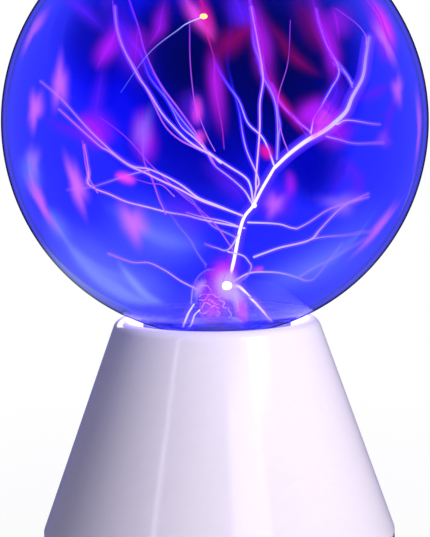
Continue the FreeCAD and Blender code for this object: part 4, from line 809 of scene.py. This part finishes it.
# tone, half width in millimetres, strength, stops about the globe's centre
hazes = [
    ("magenta", 3.2, 0.55, [(-32, -20, 36), (-34, -22, 29), (-37, -24, 24), (-40, -26, 18)]),
    ("violet", 2.4, 0.35, [(-37, -20, 24), (-39, -22, 12), (-40, -24, 6), (-41, -26, -6)]),
    ("magenta", 3.4, 0.5, [(-24, -30, 8), (-24, -32, -1), (-23, -34, -7), (-22, -36, -14)]),
    ("violet", 5.0, 0.4, [(-36, -18, 44), (-32, -20, 34), (-28, -20, 24), (-20, -20, 10)]),
    ("magenta", 2.6, 0.4, [(-16, -10, 45), (-18, -12, 37), (-19, -14, 32), (-24, -16, 25)]),
    ("pink", 2.6, 0.5, [(-12, -26, 47), (-8, -34, 39), (-5, -40, 35), (-2, -44, 31), (1, -46, 26)]),
    ("rose", 2.0, 0.5, [(-6, -34, 46), (-3, -44, 37), (-2, -46, 32), (0, -46, 24)]),
    ("pink", 1.8, 0.5, [(-6, -28, 11), (-6, -27, 5), (-6, -26, -1)]),
    ("pink", 1.6, 0.4, [(-6, -24, -1), (-5, -23, -4), (-5, -22, -8)]),
    ("magenta", 5.0, 0.34, [(-46, -30, 5), (-40, -28, -1), (-35, -26, -8)]),
    ("magenta", 5.0, 0.36, [(35, -30, 4), (40, -30, -2), (45, -30, -8)]),
    ("magenta", 4.6, 0.34, [(39, -25, 40), (41, -25, 34), (42, -25, 26)]),
    ("magenta", 4.0, 0.26, [(-25, -25, 35), (-26, -25, 27), (-27, -22, 17)]),
    ("violet", 4.6, 0.3, [(-9, -28, 14), (-7, -27, 5), (-4, -24, -5)]),
    ("magenta", 2.6, 0.45, [(-1, -42, 27), (0, -40, 18), (1, -36, 8), (3, -30, -6)]),
    ("pink", 1.5, 0.75, [(-33, -50, -15), (-29, -50, -16), (-25, -50, -18)]),
    ("violet", 2.0, 0.4, [(-58, -38, 4), (-50, -38, 0), (-45, -38, -2), (-38, -38, -2)]),
    ("violet", 4.0, 0.35, [(-22, -20, -26), (-14, -20, -28), (-6, -20, -30), (2, -20, -31)]),
    ("magenta", 3.2, 0.42, [(10, -30, 47), (13, -32, 37), (16, -32, 27), (17, -30, 18), (21, -28, 9)]),
    ("rose", 1.7, 0.32, [(17, -30, 20), (20, -28, 11), (25, -26, 4), (31, -26, -5)]),
    ("red", 2.2, 0.32, [(14, -34, 38), (21, -38, 29), (25, -38, 23), (30, -36, 19), (37, -34, 15)]),
    ("magenta", 2.6, 0.45, [(30, -34, 47), (34, -36, 35), (38, -38, 25), (39, -38, 18), (40, -36, 11)]),
    ("violet", 3.4, 0.45, [(39, -36, 17), (40, -36, 11), (37, -34, 4), (32, -30, -4)]),
    ("red", 3.6, 0.28, [(25, -34, 44), (30, -34, 36), (34, -34, 28), (37, -36, 22)]),
    ("magenta", 3.0, 0.45, [(46, -36, 44), (52, -36, 37), (55, -38, 30), (56, -38, 24), (56, -36, 18)]),
    ("magenta", 4.6, 0.5, [(25, -30, 1), (31, -32, 3), (37, -33, 3), (43, -34, 2)]),
    ("pink", 2.2, 0.45, [(38, -34, 9), (37, -34, 4), (34, -32, -2), (31, -30, -6)]),
    ("red", 3.6, 0.5, [(-2, -44, 19), (3, -44, 25), (8, -44, 29), (16, -42, 34)]),
    ("violet", 5.4, 0.35, [(12, -30, -28), (20, -32, -26), (28, -34, -25)]),
    ("magenta", 1.8, 0.35, [(24, -32, -14), (25, -32, -20), (24, -32, -26)]),
    ("rose", 1.7, 0.85, [(15, -30, -6), (17, -30, -9), (19, -30, -12)]),
    ("violet", 2.4, 0.4, [(41, -38, -10), (46, -42, -17), (45, -44, -23), (39, -44, -27)]),
    ("violet", 4.0, 0.6, [(4, -40, 46), (9, -42, 36), (10, -42, 29)]),
    ("violet", 2.2, 0.35, [(44, -36, 7), (52, -36, 10), (59, -34, 13)]),
    ("violet", 1.6, 0.35, [(57, -34, 24), (59, -34, 8), (57, -34, 1), (58, -34, -12)]),
    ("violet", 2.6, 0.4, [(-52, -16, 44), (-44, -20, 39), (-35, -22, 30)]),
    ("violet", 3.4, 0.3, [(-6, -30, -10), (2, -30, -17), (7, -30, -22), (11, -28, -28)]),
    ("navy", 6.0, 0.9, [(29, -14, -2), (32, -16, -14), (33, -18, -28)]),
    ("hot", 3.4, 0.95, [(3.4, -10, -50), (3.4, -10, -56.3), (3.4, -10, -63)]),
    ("pink", 3.2, 0.85, [(3, -9.8, -47), (2, -9.8, -53), (2, -9.8, -60)]),
    ("magenta", 4.4, 0.5, [(5, -9.6, -44), (3, -9.6, -52), (0, -9.6, -62)]),
    ("hot", 2.6, 0.6, [(4, -9.7, -49), (4, -9.7, -56), (8, -9.7, -62), (9, -9.7, -68)]),
    ("hot", 1.6, 0.4, [(-3, -9.9, -54), (-6, -9.9, -57), (-8, -9.9, -62)]),
    ("magenta", 2.4, 0.4, [(-8, -9.4, -54), (-5, -9.4, -58), (-2, -9.4, -62)]),
    ("hot", 1.3, 0.8, [(5, -11, -56), (7, -11, -61), (8, -11, -67)]),
    ("pink", 2.2, 0.8, [(7, -11, -59), (8.5, -11, -65), (10, -11, -71)]),
    ("pink", 1.0, 0.6, [(17, -8, -50), (15, -8, -51), (12, -8, -51)]),
    # painted reflection: pale streaks of light along the lower glass, laid as glowing bands
    ("mist", 2.4, 0.55, [(-51, -32, -36), (-46, -29, -44), (-39, -26, -52), (-31, -24, -58), (-22, -24, -62)]),
    ("mist", 1.8, 0.6, [(-44, -30, -45), (-36, -30, -52), (-28, -31, -57), (-19, -30, -60)]),
    ("mist", 1.6, 0.5, [(-33, -45, -42), (-28, -40, -50), (-23, -36, -56), (-16, -32, -60)]),
    ("mist", 3.0, 0.25, [(-56, -33, -25), (-53, -30, -33), (-48, -28, -41)]),
    ("mist", 3.0, 0.3, [(-62, -31, -7), (-62, -27, -15), (-60, -24, -25)]),
    ("mist", 9.0, 0.22, [(-56, -20, -30), (-48, -26, -42), (-30, -30, -52), (-10, -34, -56)]),
    ("mist", 9.0, 0.14, [(-40, -34, -24), (-20, -40, -36), (0, -42, -40)]),
    ("mist", 8.0, 0.16, [(8, -34, -54), (28, -30, -50), (46, -24, -40), (60, -18, -22)]),
]


def softFall(distance, falloff):
    # 1 in the middle, exp(-k d d) further out, brought down to nothing at a distance of 1
    return (np.exp(-falloff * distance ** 2) - math.exp(-falloff)) / (1 - math.exp(-falloff))


hazeParts, hazeLight = [], []
across = np.cos(np.linspace(0, 2 * np.pi, hazeForm["sides"], endpoint=False))
for toneName, half, strength, stops in hazes:
    line = smoothLine(stops, hazeForm["perSpan"])
    along = np.linspace(-1, 1, len(line))
    fade = strength * (1 - along[:, None] ** 2) ** 2 * softFall(across, hazeForm["falloff"])
    for facing in hazeForm["facings"]:
        points, faces = tube(line, hazeForm["reach"] * half * (0.4 + 0.6 * (1 - along ** 2) ** 0.4), hazeForm["sides"],
                             facing, hazeForm["thin"])
        light = throughGas(toLinear(hazeTones[toneName]), points)
        light[:, 3] = np.append(fade.ravel(), [0, 0])
        hazeParts.append((about(globeCentre, points), faces))
        hazeLight.append(light)

haze = makePiece("gasHaze", *gather(hazeParts), {"glow": np.vstack(hazeLight)})
haze.data.materials.append(softLight("hazeLight"))
hazePieces = [haze]

# hot spots, each a lumpy ball: where the trunk leaves the dome, the bead where it forks, and the spark at the top of
# the thin arc
hotSpots = {
    "rootSpot": {"tone": "#fff4ff", "strength": 12.0, "middle": (3.5, -11.0, -56.3), "size": (1.7, 0.7, 1.5)},
    "forkBead": {"tone": "#fff8ff", "strength": 8.0, "middle": (13.2, -14.6, -28.0), "size": (0.9, 0.9, 0.9)},
    "arcSpark": {"tone": "#ffb030", "strength": 9.0, "middle": (-3.2, -63.2, 34.0), "size": (1.1, 0.6, 0.8)},
}
# r = 1 + 0.1 cos(3a + 1) sin b + 0.06 cos 5a sin b sin b
ball, ballFaces = swollenBall(16, 24, lambda a, b: (
    1 + 0.1 * np.cos(3 * a + 1) * np.sin(b) + 0.06 * np.cos(5 * a) * np.sin(b) ** 2))
for spotName, spot in hotSpots.items():
    spotPoints = about(globeCentre, ball * np.array(spot["size"]) + np.array(spot["middle"]))
    hotSpot = makePiece(spotName, spotPoints, ballFaces)
    spotFinish = newFinish(spotName + "Light")
    closeFinish(spotFinish, evenLight(spotFinish, toLinear(spot["tone"]), spot["strength"]))
    hotSpot.data.materials.append(spotFinish)
    hazePieces.append(hotSpot)
print("haze laid in,", len(hazes))


# ---- soft patches of light where streamers end on the glass, and long faint ones that follow it

patchForm = {"rings": 9, "columns": 24, "spread": 1.3, "falloff": 4.2, "depth": 0.3, "gap": 0.3}
patchTones = {
    "lilac": "#c08cff", "pink": "#e878ff", "blue": "#8080ff", "violet": "#a050ff", "magenta": "#e040ff",
    "red": "#ff3a8a",
}
# tone, place on the wall (millimetres about the globe's centre), half length, half width, lean from upright in degrees,
# strength
patches = [
    ("pink", (-59, -27, 32), 9, 6, 25, 0.8), ("pink", (-41, 41, 44), 7, 5, 0, 0.8),
    ("pink", (-49, -52, 14), 9, 4.5, -10, 0.6), ("pink", (-58, -44, 6), 7, 5, 15, 0.75),
    ("magenta", (-42, 53, 27), 13, 5, 35, 0.8), ("blue", (-22, -69, -1), 8, 4, 10, 0.25),
    ("lilac", (-71, -16, 2), 10, 3, 0, 0.7), ("lilac", (-59, -41, -11), 7, 5, 20, 0.45),
    ("pink", (-44, -55, -18), 10, 4, -5, 0.7), ("pink", (-58, -38, -24), 11, 4.5, -18, 0.85),
    ("pink", (-34, 60, -22), 4, 5, 0, 0.6), ("pink", (-26, -61, -30), 8, 5.5, 0, 0.55),
    ("violet", (-10, 58, -42), 9, 6, 40, 0.3), ("magenta", (-21, 58, 39), 8, 5, 20, 0.6),
    ("violet", (-7, 72, 4), 7, 6, 0, 0.45), ("magenta", (18, 61, 35), 13, 6, -10, 0.6),
    ("magenta", (43, 49, 33), 9, 5, -20, 0.5), ("red", (32, 61, 24), 12, 6, -40, 0.2),
    ("pink", (55, -39, 27), 9, 4.5, -10, 0.7), ("pink", (59, -41, 11), 6, 4, 30, 0.5),
    ("pink", (68, -26, -1), 14, 4, 0, 0.75), ("violet", (48, 50, -21), 10, 8, 0, 0.5),
    ("pink", (18, -66, -24), 5, 4, 0, 0.35), ("pink", (54, -36, -34), 12, 4, 35, 0.7),
    ("pink", (64, 34, -7), 4, 6, 0, 0.6), ("lilac", (42, -58, -26), 5, 9, 0, 0.3),
    ("lilac", (66, -10, -24), 12, 5, 15, 0.5),
]


def wallPatch(tone, place, long, wide, lean, strength):
    # a thin lens on the inside of the glass: polar rings (p, a) turned by the lean and wrapped on the sphere
    out = np.array(place, float)
    out /= np.linalg.norm(out)
    level = np.cross((0, 0, 1), out)
    level /= np.linalg.norm(level)
    upright = np.cross(out, level)
    rings, columns = patchForm["rings"], patchForm["columns"]
    p = np.linspace(0, 1, rings + 1)[1:, None]
    a = np.linspace(0, 2 * np.pi, columns, endpoint=False)[None, :]
    tilt = math.radians(lean)
    ragged = 1 + 0.16 * np.cos(3 * a + place[0]) + 0.1 * np.cos(5 * a + place[1])
    u = patchForm["spread"] * wide * p * np.cos(a) * ragged
    v = patchForm["spread"] * long * p * np.sin(a) * ragged
    across, up = u * math.cos(tilt) + v * math.sin(tilt), v * math.cos(tilt) - u * math.sin(tilt)
    inner = globeRadius - glassForm["wall"] - gasForm["gap"] - patchForm["gap"]
    toward = out + (across[..., None] * level + up[..., None] * upright) / inner
    toward /= np.linalg.norm(toward, axis=-1)[..., None]
    front = (toward * inner).reshape(-1, 3)
    back = (toward * (inner - patchForm["depth"] * (1 - p ** 2))[..., None])[:-1].reshape(-1, 3)
    points = np.vstack([front, out * inner, back, out * (inner - patchForm["depth"])])
    # the back shares the front's outermost ring
    count = rings * columns
    backRows = np.append(count + 1 + np.arange(count - columns), np.arange(count - columns, count))
    backRows = backRows.reshape(rings, columns)
    right = np.roll(backRows, -1, axis=1)
    backQuads = np.stack([backRows[:-1], right[:-1], right[1:], backRows[1:]], -1).reshape(-1, 4)[:, ::-1]
    faces = [gridFaces(rings, columns), backQuads, fanFaces(count, np.arange(columns)),
             fanFaces(len(points) - 1, backRows[0], turned=True)]
    fade = np.broadcast_to(softFall(p, patchForm["falloff"]), across.shape)
    light = throughGas(toLinear(patchTones[tone]), points)
    light[:, 3] = np.concatenate([fade.ravel(), [1.0], fade[:-1].ravel(), [1.0]]) * strength
    return points, faces, light


shaped = [wallPatch(*patch) for patch in patches]
glassPatches = makePiece("glassPatches", *gather([(about(globeCentre, points), faces) for points, faces, _ in shaped]),
                         {"glow": np.vstack([light for _, _, light in shaped])})
glassPatches.data.materials.append(softLight("glowOnGlass"))


# ---- finishes of the solid pieces

def solidFinish(name, low, high, grain, rough, metal=0.0, bump=0.0):
    # two near tones mixed by a noise of the real grain (mm), the same noise in the roughness and the bump (mm)
    finish = newFinish(name)
    noise = grainOf(finish, grain, 3.0, 0.55)
    surface = addNode(finish, "BsdfPrincipled", {"Metallic": metal}, {
        "Base Color": mixTones(finish, noise, low, high), "Roughness": spread(finish, noise, toEnds=rough)})
    if bump:
        relief = addNode(finish, "Bump", {"Strength": 1.0, "Distance": bump * millimetre}, {"Height": noise})
        finish.node_tree.links.new(relief.outputs["Normal"], surface.inputs["Normal"])
    return closeFinish(finish, surface)


def windingFinish(name, low, high, pitch):
    # turns of enamelled wire side by side: rings along x at the wire's pitch (mm), low in the grooves, with painted
    # shade darkening them there
    finish = newFinish(name)
    place = addNode(finish, "TexCoord")
    rings = addNode(finish, "TexWave", {
        "wave_type": "BANDS", "bands_direction": "X", "Scale": 2 * math.pi / (20 * pitch * millimetre),
        "Distortion": 0.6, "Detail": 1.0, "Detail Scale": 0.4}, {"Vector": place.outputs["Object"]}).outputs["Fac"]
    relief = addNode(finish, "Bump", {"Strength": 1.0, "Distance": 0.3 * pitch * millimetre}, {"Height": rings})
    return closeFinish(finish, addNode(finish, "BsdfPrincipled", {"Metallic": 0.5, "Roughness": 0.3}, {
        "Base Color": mixTones(finish, rings, low, high), "Normal": relief.outputs["Normal"]}))


def bandedFinish(name, ground, bands, middle, length):
    # lacquer with painted rings: the place along x, counted from the middle of the body on either side of the board
    finish = newFinish(name)
    place = addNode(finish, "TexCoord")
    split = addNode(finish, "SeparateXYZ", {}, {0: place.outputs["Object"]})
    out = addNode(finish, "Math", {"operation": "ABSOLUTE"}, {0: split.outputs["X"]})
    share = spread(finish, out.outputs[0], (middle - length / 2, middle + length / 2))
    ramp = addNode(finish, "ValToRGB", {}, {"Fac": share})
    stripes = ramp.color_ramp
    stripes.interpolation = "CONSTANT"
    stripes.elements[1].position = 0.98
    for element in stripes.elements:
        element.color = toLinear(ground)
    for start, ringTone in bands:
        stripes.elements.new(start).color = toLinear(ringTone)
        stripes.elements.new(start + 0.08).color = toLinear(ground)
    return closeFinish(finish, addNode(finish, "BsdfPrincipled", {"Roughness": 0.35},
                                       {"Base Color": ramp.outputs["Color"]}))


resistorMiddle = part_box("resistors")[1].x - 5.3 * millimetre   # half the pitch of the wires and half a wire
# slot: finish, two tones, grain in millimetres, roughness, metal, bump in millimetres
solidForms = {
    # glossy injection moulded ABS: white, even, with a very faint orange peel
    "white_abs": ("glossWhiteAbs", "#f3f2f5", "#f8f7fa", 2.6, (0.10, 0.17), 0.0, 0.004),
    # spark-eroded black ABS: matt, fine grain
    "black_abs": ("texturedBlackAbs", "#141416", "#1e1e21", 0.35, (0.45, 0.62), 0.0, 0.03),
    "grey_foam": ("greyPolyethyleneFoam", "#5b5d62", "#74767b", 0.8, (0.8, 0.95), 0.0, 0.12),
    "collar_nylon": ("naturalNylon", "#d9d5c8", "#e6e2d6", 1.5, (0.35, 0.5), 0.0, 0.01),
    "adhesive": ("whiteSiliconeAdhesive", "#d5d4ce", "#e4e3de", 2.0, (0.3, 0.5), 0.0, 0.05),
    "zinc_screw": ("zincPlatedSteel", "#b8bcc2", "#d2d6da", 0.4, (0.22, 0.38), 0.6, 0.004),
    "black_screw": ("blackOxideSteel", "#1b1b1d", "#2b2b2f", 0.4, (0.3, 0.45), 1.0, 0.004),
    "foot_rubber": ("blackRubber", "#151515", "#222222", 0.6, (0.75, 0.9), 0.0, 0.02),
    "board_laminate": ("paperPhenolicBoard", "#8a6a3c", "#a07c48", 0.9, (0.45, 0.6), 0.0, 0.01),
    "ferrite": ("sinteredFerrite", "#2b2c2f", "#3b3c40", 0.5, (0.6, 0.75), 0.0, 0.02),
    "bobbin_plastic": ("blackPhenolicBobbin", "#1f1d1b", "#2b2926", 0.7, (0.4, 0.55), 0.0, 0.01),
    "tinned_copper": ("tinnedCopper", "#c9c7c2", "#dddbd6", 0.3, (0.2, 0.35), 1.0),
    "copper_wire": ("bareCopper", "#b8694a", "#d08a63", 0.4, (0.25, 0.4), 1.0),
    "silicone_lead": ("redSiliconeLead", "#a31c1a", "#bb2a26", 0.8, (0.45, 0.6), 0.0, 0.01),
    "sink_aluminium": ("milledAluminium", "#b9bcc0", "#d1d4d8", 0.3, (0.3, 0.45), 1.0, 0.01),
    "package_epoxy": ("blackMouldedEpoxy", "#1a1a1b", "#262627", 0.3, (0.5, 0.65), 0.0, 0.015),
    "capacitor_sleeve": ("darkBlueSleeve", "#1b2440", "#25305a", 1.2, (0.3, 0.42), 0.0, 0.006),
    "jack_plastic": ("blackPbtJack", "#121213", "#1c1c1e", 0.5, (0.35, 0.5), 0.0, 0.01),
    "contact_metal": ("nickelPlatedBrass", "#c6c1b4", "#dcd8cc", 0.3, (0.2, 0.32), 1.0),
    "capsule_metal": ("drawnAluminiumCan", "#b4b7ba", "#cdd0d2", 0.4, (0.28, 0.4), 1.0),
    "frame_steel": ("platedFrameSteel", "#aeb2b6", "#c8ccd0", 0.4, (0.25, 0.4), 0.6, 0.004),
    "insulator_phenolic": ("brownPhenolicSheet", "#5f3a20", "#74492a", 0.6, (0.5, 0.65), 0.0, 0.01),
    "slider_plastic": ("blackAcetal", "#161617", "#222224", 0.5, (0.35, 0.5), 0.0, 0.01),
    "lead_red": ("redPvcLead", "#a4201c", "#bd2d27", 0.7, (0.4, 0.5), 0.0, 0.006),
    "lead_yellow": ("yellowPvcLead", "#c99b1a", "#dcae2c", 0.7, (0.4, 0.5), 0.0, 0.006),
    "lead_black": ("blackPvcLead", "#18181a", "#242426", 0.7, (0.4, 0.5), 0.0, 0.006),
    "foam": ("glassWoolPlug", "#e2ddd2", "#f2eee6", 0.3, (0.85, 0.98), 0.0, 0.15),
}
finishes = {slot: solidFinish(*form) for slot, form in solidForms.items()}
finishes["enamelled_wire"] = windingFinish("enamelledCopper", "#6a2c12", "#c06a34", 0.32)
finishes["resistor_lacquer"] = bandedFinish(
    "beigeLacquer", "#cdb083", [(0.2, "#5a3418"), (0.36, "#1b1b1b"), (0.52, "#b03a1a"), (0.76, "#b08a2e")],
    resistorMiddle, 6.5 * millimetre)
finishes["stem_glass"] = blownGlass("sealedTipGlass", {**tubeGlass, "waveStrength": 0.05})
replaced = {"globe_shell", "electrode_stem", "steel_wool"}
slotOfNode = {part["node"]: part.get("material_slot") or part.get("material") for part in frame["record"]["subparts"]}
for nodeName, nodeObject in frame["nodes"].items():
    if nodeName not in replaced:
        nodeObject.data.materials.clear()
        nodeObject.data.materials.append(finishes[slotOfNode[nodeName]])
print("finishes laid on")

# the eye sees the streamers, but their light isn't traced into the matt surfaces
for lit in (cores, glow, hotGlow, glassPatches, wool, *hazePieces):
    lit.visible_diffuse = False
# glass and gas cast no dark shadow into the cup, and mirror no lamp
unmirrored = bpy.data.collections.new("unmirrored")
for clear in (globeGlass, stemGlass, gas, *clouds):
    clear.visible_shadow = False
    unmirrored.objects.link(clear)
for member in unmirrored.collection_objects:
    member.light_linking.link_state = "EXCLUDE"
for lampObject in (*lampObjects, glowLamp):
    lampObject.light_linking.receiver_collection = unmirrored
